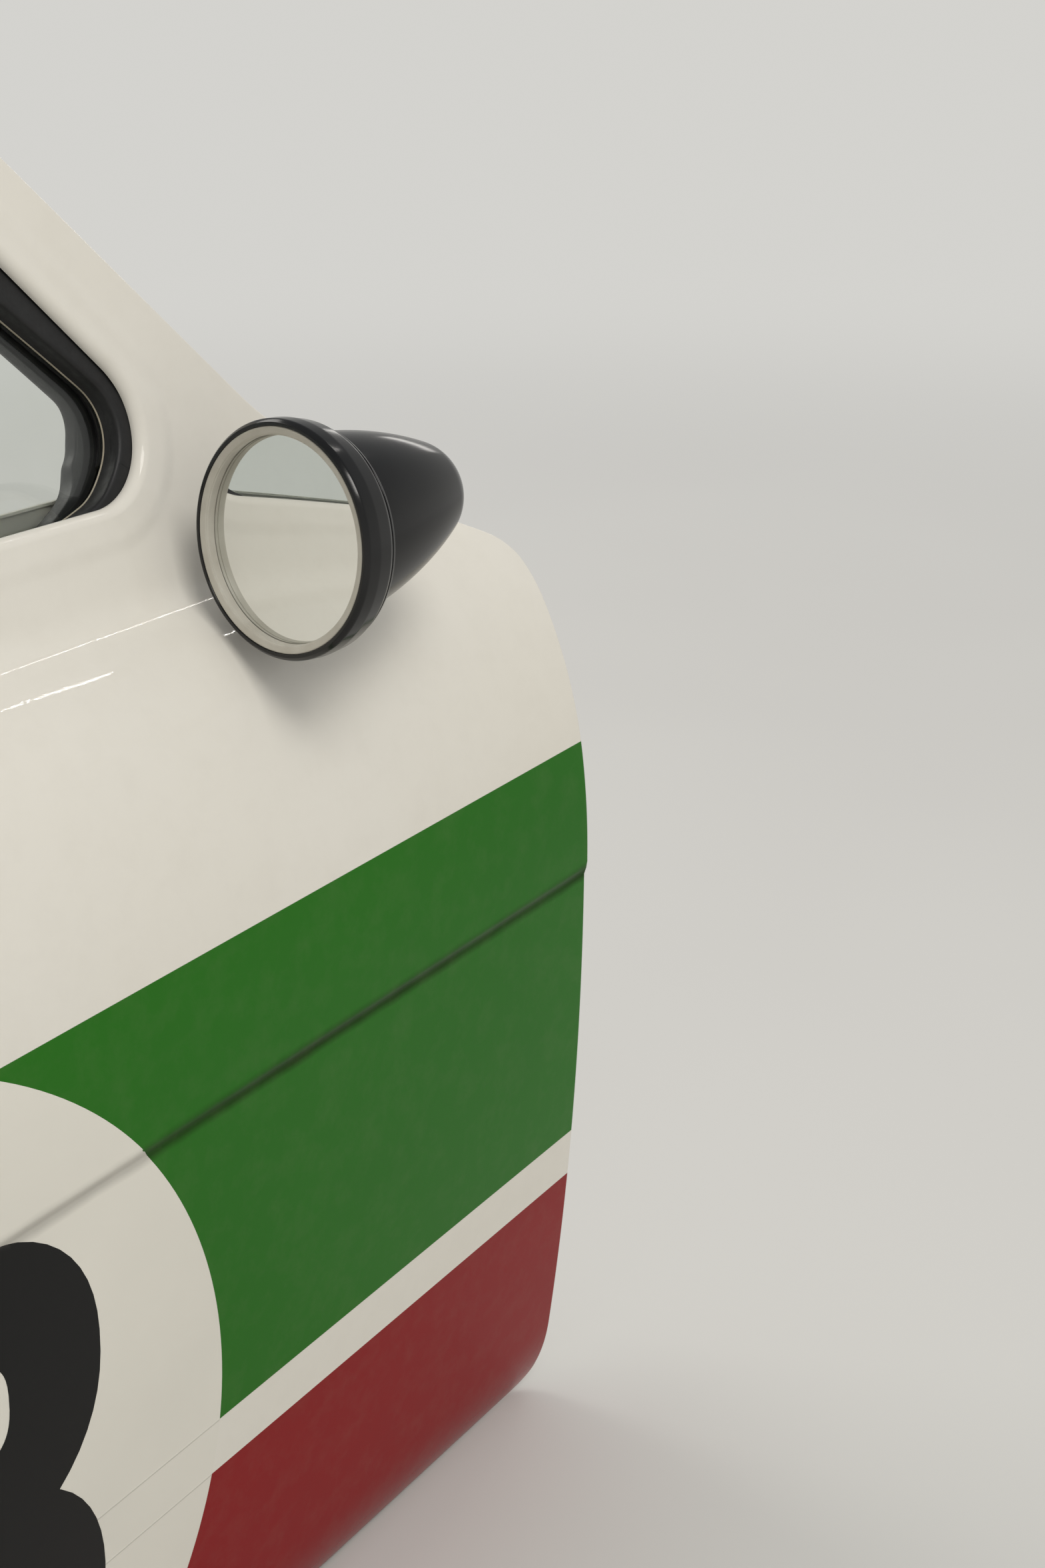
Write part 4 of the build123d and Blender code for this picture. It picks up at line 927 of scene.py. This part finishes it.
def turned(profile, centre, axis, sides):
    """Points and faces of a closed profile of (radius, distance ahead) rows, turned round an axis."""
    axis = unit(axis)
    u, v = across(axis)
    turn = np.arange(sides)[:, None] * 2.0 * math.pi / sides
    around = np.cos(turn) * u + np.sin(turn) * v
    return skin_over([row(centre + axis * a + r * around[:1 if r < 1e-6 else sides]) for r, a in profile])


def lathe(name, profile, axis, mat, sides=256, sharp=32.0, centre=GLASS_C):
    return solid(name, *turned(profile, centre, axis, sides), MAT[mat], sharp)


# profiles as rows of radius from the axis, distance ahead, corner radius
RIM_ROWS = ((RIM_BORE, -RIM_FRONT, 0.4), (RIM_BORE + 1.6, -RIM_FRONT, 0.9), (RIM_R - 0.4, -RIM_FRONT + 2.0, 2.2),
            (RIM_R - 0.3, 2.5, 8.0), (RIM_R - 1.6, 10.6, 3.0), (RIM_R - 2.6, 12.6, 0.8), (RIM_R - 3.7, 12.8, 0.3),
            (RIM_R - 3.7, 13.5, 0.2), (RIM_R - 3.0, 13.7, 0.7), (RIM_R - 4.0, RIM_BACK - 0.2, 1.2),
            (RIM_R - 5.2, RIM_BACK, 0.4), (COLLAR_R + 0.1, RIM_BACK, 0.3), (COLLAR_R + 0.1, BEZEL_BACK + 0.1, 0.0),
            (RIM_BORE, BEZEL_BACK + 0.1, 0.0))
LIP = GLASS_R - 0.6
BEZEL_ROWS = ((RIM_BORE - 0.1, BEZEL_BACK, 0.0), (RIM_BORE - 0.1, -BEZEL_FRONT + 0.25, 0.25),
              (RIM_BORE - 0.6, -BEZEL_FRONT + 0.05, 0.4), (LIP + 0.95, -BEZEL_FRONT + 0.65, 0.3),
              (LIP + 0.5, -BEZEL_FRONT + 0.95, 0.15), (LIP + 0.5, -BEZEL_FRONT + 1.35, 0.1),
              (LIP, -BEZEL_FRONT + 1.75, 0.4), (LIP + 0.05, -1.7, 0.1), (LIP + 0.3, -1.45, 0.1),
              (LIP + 0.3, -0.1, 0.0), (GLASS_R + 0.1, -0.1, 0.0), (GLASS_R + 0.1, GLASS_T + 0.1, 0.0),
              (38.6, GLASS_T + 0.1, 0.3), (38.6, BEZEL_BACK, 0.3))
PANE_ROWS = ((0.0, 0.0, 0.0), (LIP, 0.0, 0.2), (GLASS_R, 0.6, 0.2), (GLASS_R, GLASS_T, 0.1), (0.0, GLASS_T, 0.0))
COLLAR_ROWS = ((SHELL_R - 3.0, COLLAR_FROM, 0.2), (COLLAR_R, COLLAR_FROM, 0.3), (COLLAR_R, 13.0, 0.8),
               (SHELL_R - 3.0, 13.4, 0.4))


def shell_profile():
    """Outer and inner curve of the bullet, as the frame draws them."""
    out = []
    for wall, way in ((0.0, 1), (SHELL_T, -1)):
        nose, base, tip = NOSE_R - wall, SHELL_R - wall, SHELL_L - wall
        cn = tip - nose
        radius = (nose**2 - base**2 - cn**2) / (2.0 * (nose - base))
        cx = base - radius
        turn = math.asin(cn / math.hypot(cx, cn))
        start = math.asin(-5.0 / radius)
        part = [(cx + radius * math.cos(t), radius * math.sin(t)) for t in np.linspace(start, turn, 40)]
        part += [(nose * math.cos(t), cn + nose * math.sin(t)) for t in np.linspace(turn, math.pi / 2, 28)[1:]]
        part[-1] = (0.0, tip)
        out += part[::way]
    return out


def cutter(a, b, r):
    """A cylinder between two points."""
    length = np.linalg.norm(b - a)
    return lathe("cutter", ((0.0, 0.0), (r, 0.0), (r, length), (0.0, length)), b - a, "black", 48, centre=a)


def carve(ob, cutters):
    """Cuts shapes out of a mesh and applies the result."""
    for c in cutters:
        mod = ob.modifiers.new("cut", "BOOLEAN")
        mod.operation, mod.solver, mod.object = "DIFFERENCE", "EXACT", c
    dg = bpy.context.evaluated_depsgraph_get()
    me = bpy.data.meshes.new_from_object(ob.evaluated_get(dg))
    ob.modifiers.clear()
    ob.data = me
    for c in cutters:
        bpy.data.objects.remove(c)


def stem_cutters():
    """Room for the stem from the ball to the foot on the skin, over the mirror's swing."""
    foot = np.array((FOOT_X, float(np.interp(s_of_z(FOOT_Z), SEC_S, SEC_Y)) - FOOT_THICK, FOOT_Z))
    x, y, z = unit(foot - BALL)
    out = []
    for turn in (-STEM_TURN, 0.0, STEM_TURN):
        c, s = math.cos(math.radians(turn)), math.sin(math.radians(turn))
        d = np.array((x * c - y * s, x * s + y * c, z))
        out.append(cutter(BALL + d * 2.0, BALL + d * 60.0, STEM_ROOM))
    return out


rim = lathe("mirror_rim_black", rounded(RIM_ROWS), RIM_AXIS, "black")
bezel = lathe("mirror_bezel_grey", rounded(BEZEL_ROWS), RIM_AXIS, "grey")
mirror_pane = lathe("mirror_pane", rounded(PANE_ROWS, steps=3), RIM_AXIS, "silver")
shell = lathe("mirror_bullet", shell_profile(), SHELL_AXIS, "black", 224, 40.0)
ahead_of_glass = cutter(GLASS_C - RIM_AXIS * 30.0, GLASS_C + RIM_AXIS * COLLAR_FROM, 70.0)
carve(shell, stem_cutters() + [ahead_of_glass])
soften(shell, 34.0)
collar = lathe("mirror_collar", rounded(COLLAR_ROWS), RIM_AXIS, "black", 192)
for ob, node, slot_name in ((rim, "mirror_rim", "mirror_black"), (bezel, "mirror_inner_ring", "ring_grey"),
                            (mirror_pane, "mirror_glass", "mirror_silver"), (shell, "mirror_shell", "mirror_black")):
    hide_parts(node)
    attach(ob, "mirror_head")
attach(collar, "mirror_head")

# ---------------------------------------------------------------- door card
# boxes as x from, x to, z from, z to and corner radius
CARD = (-1074.0, -60.0, -314.0, 224.0, 26.0)
PAD = (-1034.0, -100.0, 1.0, 151.0, 26.0)
FIELD = (-1044.0, -90.0, -286.0, -28.0, 20.0)
CARD_BACK, CARD_FACE, CARD_ROUND, PAD_RISE = 140.1, 145.1, 1.7, 7.9
SEAM_IN, CHANNEL_Z = 9.0, 36.0
FLUTE_GAP, FLUTE_FIRST, FLUTE_LAST, FLUTE_LOW, FLUTE_HIGH = 43.0, -1010.0, -365.0, -266.0, -50.0
# width and depth of the dents in the trim
SEAM_DENT, CHANNEL_DENT, FIELD_DENT, FLUTE_DENT = (1.5, 1.2), (2.2, 1.5), (1.5, 1.0), (1.7, 1.0)
STITCH_PITCH = 5.0
# a stitch's sections: place along it, radius, height over the card
STITCH = ((-1.75, 0.12, -0.30), (-1.2, 0.36, 0.02), (0.0, 0.42, 0.14), (1.2, 0.36, 0.02), (1.75, 0.12, -0.30))


def frame_loop(box, inset, gap):
    x0, x1, z0, z1 = (v + inset * way for v, way in zip(box, (1, -1, 1, -1)))
    r = max(box[4] - inset, 1.0)
    return loop(((x0, z0, r), (x1, z0, r), (x1, z1, r), (x0, z1, r)), gap)


def inset_of(box, p):
    """Distance inside a rounded rectangle, negative outside."""
    x0, x1, z0, z1, r = box
    q = np.abs(p - ((x0 + x1) / 2.0, (z0 + z1) / 2.0)) - ((x1 - x0) / 2.0 - r, (z1 - z0) / 2.0 - r)
    return r - np.linalg.norm(np.maximum(q, 0.0), axis=1) - np.minimum(q.max(1), 0.0)


def dent(distance, width, depth):
    return -depth * np.exp(-(distance / width) ** 2)


def card_y(p):
    """Height of the trimmed face: a padded upper panel with sewn seams, and a fluted field below."""
    x, z = p[:, 0], p[:, 1]
    d = inset_of(PAD, p)
    t = np.clip(d / 15.0, 0.0, 1.0)
    y = CARD_FACE + PAD_RISE * np.sqrt(1.0 - (1.0 - t) ** 2)
    on = (d > 0.0) * 1.0
    y = y + on * dent(d - SEAM_IN, *SEAM_DENT)
    y = y + on * smooth((d - SEAM_IN) / 5.0) * dent(z - CHANNEL_Z, *CHANNEL_DENT)
    y = y + dent(inset_of(FIELD, p), *FIELD_DENT)
    off = (x - FLUTE_FIRST + FLUTE_GAP / 2.0) % FLUTE_GAP - FLUTE_GAP / 2.0
    reach = smooth((x - FLUTE_FIRST + 4.0) / 4.0) * smooth((FLUTE_LAST + 4.0 - x) / 4.0)
    reach = reach * smooth((z - FLUTE_LOW) / 9.0) * smooth((FLUTE_HIGH - z) / 9.0)
    return y + reach * dent(off, *FLUTE_DENT)


def card_points():
    """Loose points of the card's face: a wide grid, with rows beside each seam, channel and flute."""
    loose = [frame_loop(PAD, d, 6.0)
             for d in (0.15, 0.6, 1.5, 3.0, 5.0, 6.6, 7.6, 8.4, 9.0, 9.6, 10.4, 11.4, 13.0, 15.2, 19.0)]
    loose += [frame_loop(FIELD, d, 7.0) for d in (-3.4, -2.1, -1.2, -0.5, 0.0, 0.5, 1.2, 2.1, 3.4)]
    xs = np.arange(PAD[0] + 22.0, PAD[1] - 21.0, 7.0)
    loose += [np.stack((xs, np.full(len(xs), CHANNEL_Z + dz)), 1)
              for dz in (-6.0, -4.0, -2.6, -1.3, 0.0, 1.3, 2.6, 4.0, 6.0)]
    zs = np.arange(FLUTE_LOW - 1.0, FLUTE_HIGH + 2.0, 6.0)
    loose += [np.stack((np.full(len(zs), x + dx), zs), 1) for x in np.arange(FLUTE_FIRST, FLUTE_LAST + 1.0, FLUTE_GAP)
              for dx in (-4.2, -2.8, -1.8, -0.9, 0.0, 0.9, 1.8, 2.8, 4.2)]
    fine = np.concatenate(loose)
    grid = np.array([(x, z) for x in np.arange(CARD[0] + 9.0, CARD[1] - 8.0, 15.0)
                     for z in np.arange(CARD[2] + 9.0, CARD[3] - 8.0, 15.0)])
    return np.concatenate((fine, grid[Near(fine).point(grid, 2) > 5.0]))


def door_card():
    ring = frame_loop(CARD, CARD_ROUND, 7.0)
    flat, tri = triangulate([ring], card_points(), lambda mid: inside(mid, ring))
    verts = [np.stack((flat[:, 0], card_y(flat), flat[:, 1]), 1)]
    faces = tri[:, ::-1].tolist()
    n, way = len(ring), side_normals(ring)
    last, start = range(n), len(flat)
    for inset, back in ((1.1, 0.12), (0.5, 0.5), (0.12, 1.1), (0.0, CARD_ROUND), (0.0, CARD_FACE - CARD_BACK)):
        edge = ring - way * (CARD_ROUND - inset)
        verts.append(np.stack((edge[:, 0], np.full(n, CARD_FACE - back), edge[:, 1]), 1))
        new = range(start, start + n)
        faces += [(last[i], last[(i + 1) % n], new[(i + 1) % n], new[i]) for i in range(n)]
        last, start = new, start + n
    return solid("door_card_trimmed", row(np.concatenate(verts)), faces + [tuple(last)], MAT["vinyl"], 55.0)


def stitch_row(p):
    """Places of stitches at even steps of a polyline in (x, z), and their directions along it."""
    run = np.concatenate(((0.0,), np.cumsum(np.linalg.norm(np.diff(p, axis=0), axis=1))))
    count = int(run[-1] / STITCH_PITCH)
    at = (np.arange(count) + 0.5) * run[-1] / count
    mid, on, back = (np.stack([np.interp(at + d, run, p[:, k]) for k in (0, 1)], 1) for d in (0.0, 0.8, -0.8))
    return mid, unit(on - back)


def stitches(lines):
    """Short tight threads laid on the card: each sinks into the vinyl at both ends."""
    mid, way = (np.concatenate(part) for part in zip(*map(stitch_row, lines)))
    side = np.stack((-way[:, 1], way[:, 0]), 1)
    turn = math.pi * np.arange(6) / 3.0
    rings = []
    for along, r, lift in STITCH:
        q = mid + way * along
        x, z = (q[:, k, None] + side[:, k, None] * r * np.cos(turn) for k in (0, 1))
        rings.append(np.stack((x, (card_y(q) + lift)[:, None] + r * np.sin(turn), z), 2))
    parts = [skin_over(row(p), True) for p in np.stack(rings, 1)]
    return solid("card_stitching", *joined(parts), MAT["thread"], 60.0)


card = door_card()
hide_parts("door_card")
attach(card, "door")
seam = frame_loop(PAD, SEAM_IN + 3.6, 3.0)
run_x = np.array(((PAD[0] + 17.0, 0.0), (PAD[1] - 17.0, 0.0)))
thread = stitches((np.concatenate((seam, seam[:1])), run_x + (0.0, CHANNEL_Z + 3.9), run_x + (0.0, CHANNEL_Z - 3.9)))
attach(thread, "door")

# ---------------------------------------------------------------- grab handle
GRAB_X, GRAB_Z, GRAB_SQUARE = -640.0, 92.0, 0.72
# half the pull: x from its middle, y, and the section's half width and half height
GRAB_ROWS = ((-87.0, 153.15, 15.0, 10.4), (-87.0, 160.0, 11.0, 9.6), (-87.0, 170.0, 9.2, 9.6),
             (-84.0, 180.0, 8.2, 10.4), (-75.0, 188.0, 7.4, 11.4), (-62.0, 191.6, 7.0, 12.4),
             (-40.0, 192.1, 7.0, 13.0), (0.0, 192.1, 7.0, 13.0))


def grab_handle():
    """A moulded pull: one squared oval section carried up from each foot and along the bar."""
    table = np.array(GRAB_ROWS)
    table = np.concatenate((table, table[-2::-1] * (-1.0, 1.0, 1.0, 1.0)))
    t = np.linspace(0.0, len(table) - 1.0, 97)
    track = np.stack([np.interp(t, np.arange(len(table)), part) for part in table.T], 1)
    for _ in range(6):
        track[1:-1] = (track[:-2] + 2.0 * track[1:-1] + track[2:]) / 4.0
    x, y, wide, high = track.T[:, :, None]
    way = unit(np.gradient(track[:, :2], axis=0))
    way[0], way[-1] = (0.0, 1.0), (0.0, -1.0)
    turn = 2.0 * math.pi * np.arange(40) / 40.0
    c, s = (np.copysign(np.abs(v) ** GRAB_SQUARE, v) for v in (np.cos(turn), np.sin(turn)))
    pts = (GRAB_X + x - way[:, 1:] * (c * wide), y + way[:, :1] * (c * wide), GRAB_Z + s * high)
    return solid("grab_pull", *skin_over(row(np.stack(pts, 2)), True), MAT["vinyl"], 50.0)


grab = grab_handle()
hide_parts("grab_handle")
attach(grab, "door")


# ---------------------------------------------------------------- screws and bolts
def screw_head(radius, height, cup=None):
    """A domed head with a cross recess, in a cup washer when cup is its radius."""
    turn = 2.0 * math.pi * np.arange(40) / 40
    cross = radius * (0.15 + 0.37 * np.abs(np.cos(2.0 * turn)) ** 5)

    def dome(r):
        return height * (1.0 - 0.62 * (r / radius) ** 2)

    rings = [(radius, 0.0), (radius, height * 0.2), (radius * 0.94, height * 0.42)]
    for k in (0.7, 0.4, 0.05, 0.0):
        r = cross + (radius * 0.94 - cross) * k
        rings.append((r, dome(r)))
    rings += [(cross * 0.72, dome(cross) - height * 0.62), (cross * 0.3, height * 0.25)]
    pts = [np.stack((r * np.cos(turn), r * np.sin(turn), h + 0.0 * turn), 1) * MM for r, h in rings]
    tips = [np.array(((0.0, 0.0, h * MM),)) for h in (0.0, height * 0.22)]
    parts = [skin_over([tips[0], *pts, tips[1]])]
    if cup:
        ring = ((radius + 0.1, 0.0, 0.0), (radius + 0.1, height * 0.35, 0.1), (cup * 0.8, height * 0.55, 0.6),
                (cup, 0.15, 0.3), (cup, 0.0, 0.0))
        parts.append(turned(rounded(ring, steps=3), ORIGIN, (0.0, 0.0, 1.0), 28))
    return parts


def hex_bolt(radius, height, washer=1.2):
    wide = radius * 1.45
    plate = ((0.0, 0.0, 0.0), (wide, 0.0, 0.0), (wide, washer, 0.3), (0.0, washer, 0.0))
    head = ((0.0, washer, 0.0), (radius, washer, 0.0), (radius, height - radius * 0.14, 0.0),
            (radius * 0.84, height, 0.2), (0.0, height, 0.0))
    return [turned(rounded(rows, steps=steps), ORIGIN, (0.0, 0.0, 1.0), sides)
            for rows, steps, sides in ((plate, 3, 32), (head, 2, 6))]


def scatter(name, parts, places, mat):
    """Copies of a small part, each at a place with its axis and its turn in degrees."""
    made = []
    for at, axis, turn in places:
        u, v = across(axis)
        c, s = math.cos(math.radians(turn)), math.sin(math.radians(turn))
        basis = np.stack((-c * u - s * v, s * u - c * v, axis))
        made += [(row(at) + pts @ basis, faces) for pts, faces in parts]
    ob = solid(name, *joined(made), MAT[mat], 30.0)
    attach(ob, "door")


INBOARD, FORWARD, REARWARD = (0.0, 1.0, 0.0), (1.0, 0.0, 0.0), (-1.0, 0.0, 0.0)
# where the fittings' screws sit, and how far they stand from the middle
HINGE_FACE, HINGE_ZS, HINGE_BOLT = (-26.95, 97.0), (60.0, -258.0), 16.0
LATCH_AT, LATCH_SCREW = (-1111.05, 94.0, -20.0), (16.0, 36.0)
RELEASE_AT, RELEASE_SCREW = (-330.0, 158.0, 110.0), 43.5
WINDER_AT = (-250.0, 165.15, -70.0)
card_spots = [(x, z) for x in (-1060.0, -812.0, -567.0, -322.0, -74.0) for z in (-300.0, 196.0)]
card_spots += [(x, z) for x in (-1060.0, -74.0) for z in (-120.0, 60.0)]
latch_spots = [(LATCH_AT[1] + dy, LATCH_AT[2] + dz) for dz in (LATCH_SCREW[1], -LATCH_SCREW[1])
               for dy in (-LATCH_SCREW[0], LATCH_SCREW[0])]
hinge_spots = [z + dz for z in HINGE_ZS for dz in (HINGE_BOLT, -HINGE_BOLT)]
scatter("card_screws", screw_head(3.4, 1.9, 6.2),
        [((x, CARD_FACE - 0.05, z), INBOARD, 17.0 * i) for i, (x, z) in enumerate(card_spots)],
        "chrome")
scatter("latch_screws", screw_head(4.4, 2.2),
        [((LATCH_AT[0], y, z), REARWARD, 31.0 * i) for i, (y, z) in enumerate(latch_spots)], "zinc")
scatter("hinge_bolts", hex_bolt(6.0, 5.6),
        [((*HINGE_FACE, z), FORWARD, 23.0 * i) for i, z in enumerate(hinge_spots)], "zinc")
scatter("release_screws", screw_head(2.4, 1.3),
        [((RELEASE_AT[0] + dx, *RELEASE_AT[1:]), INBOARD, 40.0 + dx) for dx in (-RELEASE_SCREW, RELEASE_SCREW)],
        "zinc")
scatter("winder_screw", screw_head(4.6, 1.8), [(WINDER_AT, INBOARD, 12.0)], "zinc")

# ---------------------------------------------------------------- carried-over nodes
# material and bevel in mm
KEPT = {
    "inner_pressing": ("white", 0.0), "window_glass": ("glass", 0.3), "weatherstrip": ("rubber", 0.0),
    "outer_handle": ("chrome", 0.0), "lock_barrel": ("chrome", 0.0), "door_latch": ("zinc", 0.5),
    "inner_release": ("chrome", 0.0), "window_winder": ("chrome", 0.0),
    "upper_hinge_pillar_leaf": ("white", 0.5), "lower_hinge_pillar_leaf": ("white", 0.5),
    "upper_hinge_pin": ("steel", 0.0), "lower_hinge_pin": ("steel", 0.0),
    "upper_hinge_door_leaf": ("white", 0.5), "lower_hinge_door_leaf": ("white", 0.5),
    "mirror_foot": ("black", 0.0), "mirror_gasket": ("rubber", 0.4), "mirror_friction_cup": ("cup", 0.0),
}
for node, (mat, bevel) in KEPT.items():
    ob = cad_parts[node]
    ob.data.materials.clear()
    ob.data.materials.append(MAT[mat])
    if bevel:
        ob.modifiers.new("weld", "WELD").merge_threshold = 0.00001
        mod = ob.modifiers.new("bevel", "BEVEL")
        mod.width, mod.segments, mod.limit_method = bevel * MM, 3, "ANGLE"
        mod.angle_limit = math.radians(40.0)
        mod.harden_normals = False
        mod.use_clamp_overlap = True

# ---------------------------------------------------------------- stage, lights and camera
FLOOR_R, FLOOR_SIDES = 60.0, 64
floor_z = CAD_BOX[0][2] - 0.001
me = bpy.data.meshes.new("studio_floor")
turns = 2.0 * math.pi * np.arange(FLOOR_SIDES) / FLOOR_SIDES
me.from_pydata([(FLOOR_R * math.cos(a), FLOOR_R * math.sin(a), floor_z) for a in turns], [], [range(FLOOR_SIDES)])
floor = placed("studio_floor", me)

# the floor's colour turns from lit to plain pale away from the object
fm = Nodes("floor_pale").set(Roughness=0.9, Specular_IOR_Level=0.1)
fm.set(Base_Color=fm.mix(fm.spread(fm.noise(1.5, 2.0), 0.0, 1.0), PALE, PALE_GREY))
far = fm.node("VectorMath", {0: fm.coords["Object"]}, operation="LENGTH").outputs["Value"]
ramp = fm.spread(far, 0.0, 1.0, 0.6, 5.0)
ramp.node.interpolation_type = "SMOOTHERSTEP"
share = fm.math("MULTIPLY", ramp, fm.seen_directly())
glow = fm.node("Emission", {"Color": PALE})
blend = fm.node("MixShader", {0: share, 1: fm.shader.outputs[0], 2: glow.outputs[0]})
fm.feed(fm.tree.nodes["Material Output"].inputs["Surface"], blend.outputs[0])
me.materials.append(fm.owner)

# a plain sky: pale at the horizon and greyer overhead, as a soft box over the object would be
world = bpy.data.worlds.new("studio")
bpy.context.scene.world = world
wm = Nodes(world)
up_sky = wm.node("SeparateXYZ", {0: wm.coords["Generated"]}).outputs[2]
sky = wm.mix(wm.spread(up_sky, 0.0, 1.0, 0.02, 0.80), PALE, DUSK)
wm.set(Color=wm.mix(wm.seen_directly(), (0.60, 0.60, 0.60, 1.0), sky), Strength=1.0)


def lamp(name, at, aim, size, power, along=None):
    """An area lamp aimed at a point, its long side turned along a direction if one is given."""
    data = bpy.data.lights.new(name, "AREA")
    data.shape = "RECTANGLE"
    data.size, data.size_y = size
    data.energy = power
    data.color = (1.0, 0.97, 0.92)
    ob = placed(name, data)
    ob.location = at
    away = Vector(at) - Vector(aim)
    ob.rotation_euler = away.to_track_quat("Z", "Y").to_euler()
    if along:
        z = away.normalized()
        x = (Vector(along) - z * z.dot(Vector(along))).normalized()
        ob.rotation_euler = Matrix((x, z.cross(x), z)).transposed().to_euler()


lamp("key", (-1.5, -2.6, 3.6), (-0.5, 0.0, 0.1), (2.0, 1.4), 80.0)
lamp("back", (-0.6, 3.2, 2.4), (-0.5, 0.1, 0.1), (2.6, 1.6), 45.0)
lamp("front", (2.55, 0.98, 0.95), (-0.15, -0.02, 0.24), (0.7, 0.16), 1.6)
lamp("glint", (2.43, -0.01, 3.05), (-0.3, 0.0, 0.13), (0.62, 0.03), 2.8, (0.78, -0.44, -0.44))

# the photo's camera, as solved from its lines
cam_data = bpy.data.cameras.new("camera")
cam = placed("camera", cam_data)
cam_data.lens = 50.0
cam_data.sensor_width = 36.0
cam_data.clip_start = 0.01
cam.location = row((-962.5, -592.7, 474.8))
cam.rotation_euler = (math.radians(69.05), 0.0, math.radians(-56.49))
bpy.context.scene.camera = cam
bpy.context.scene.view_settings.view_transform = "Standard"
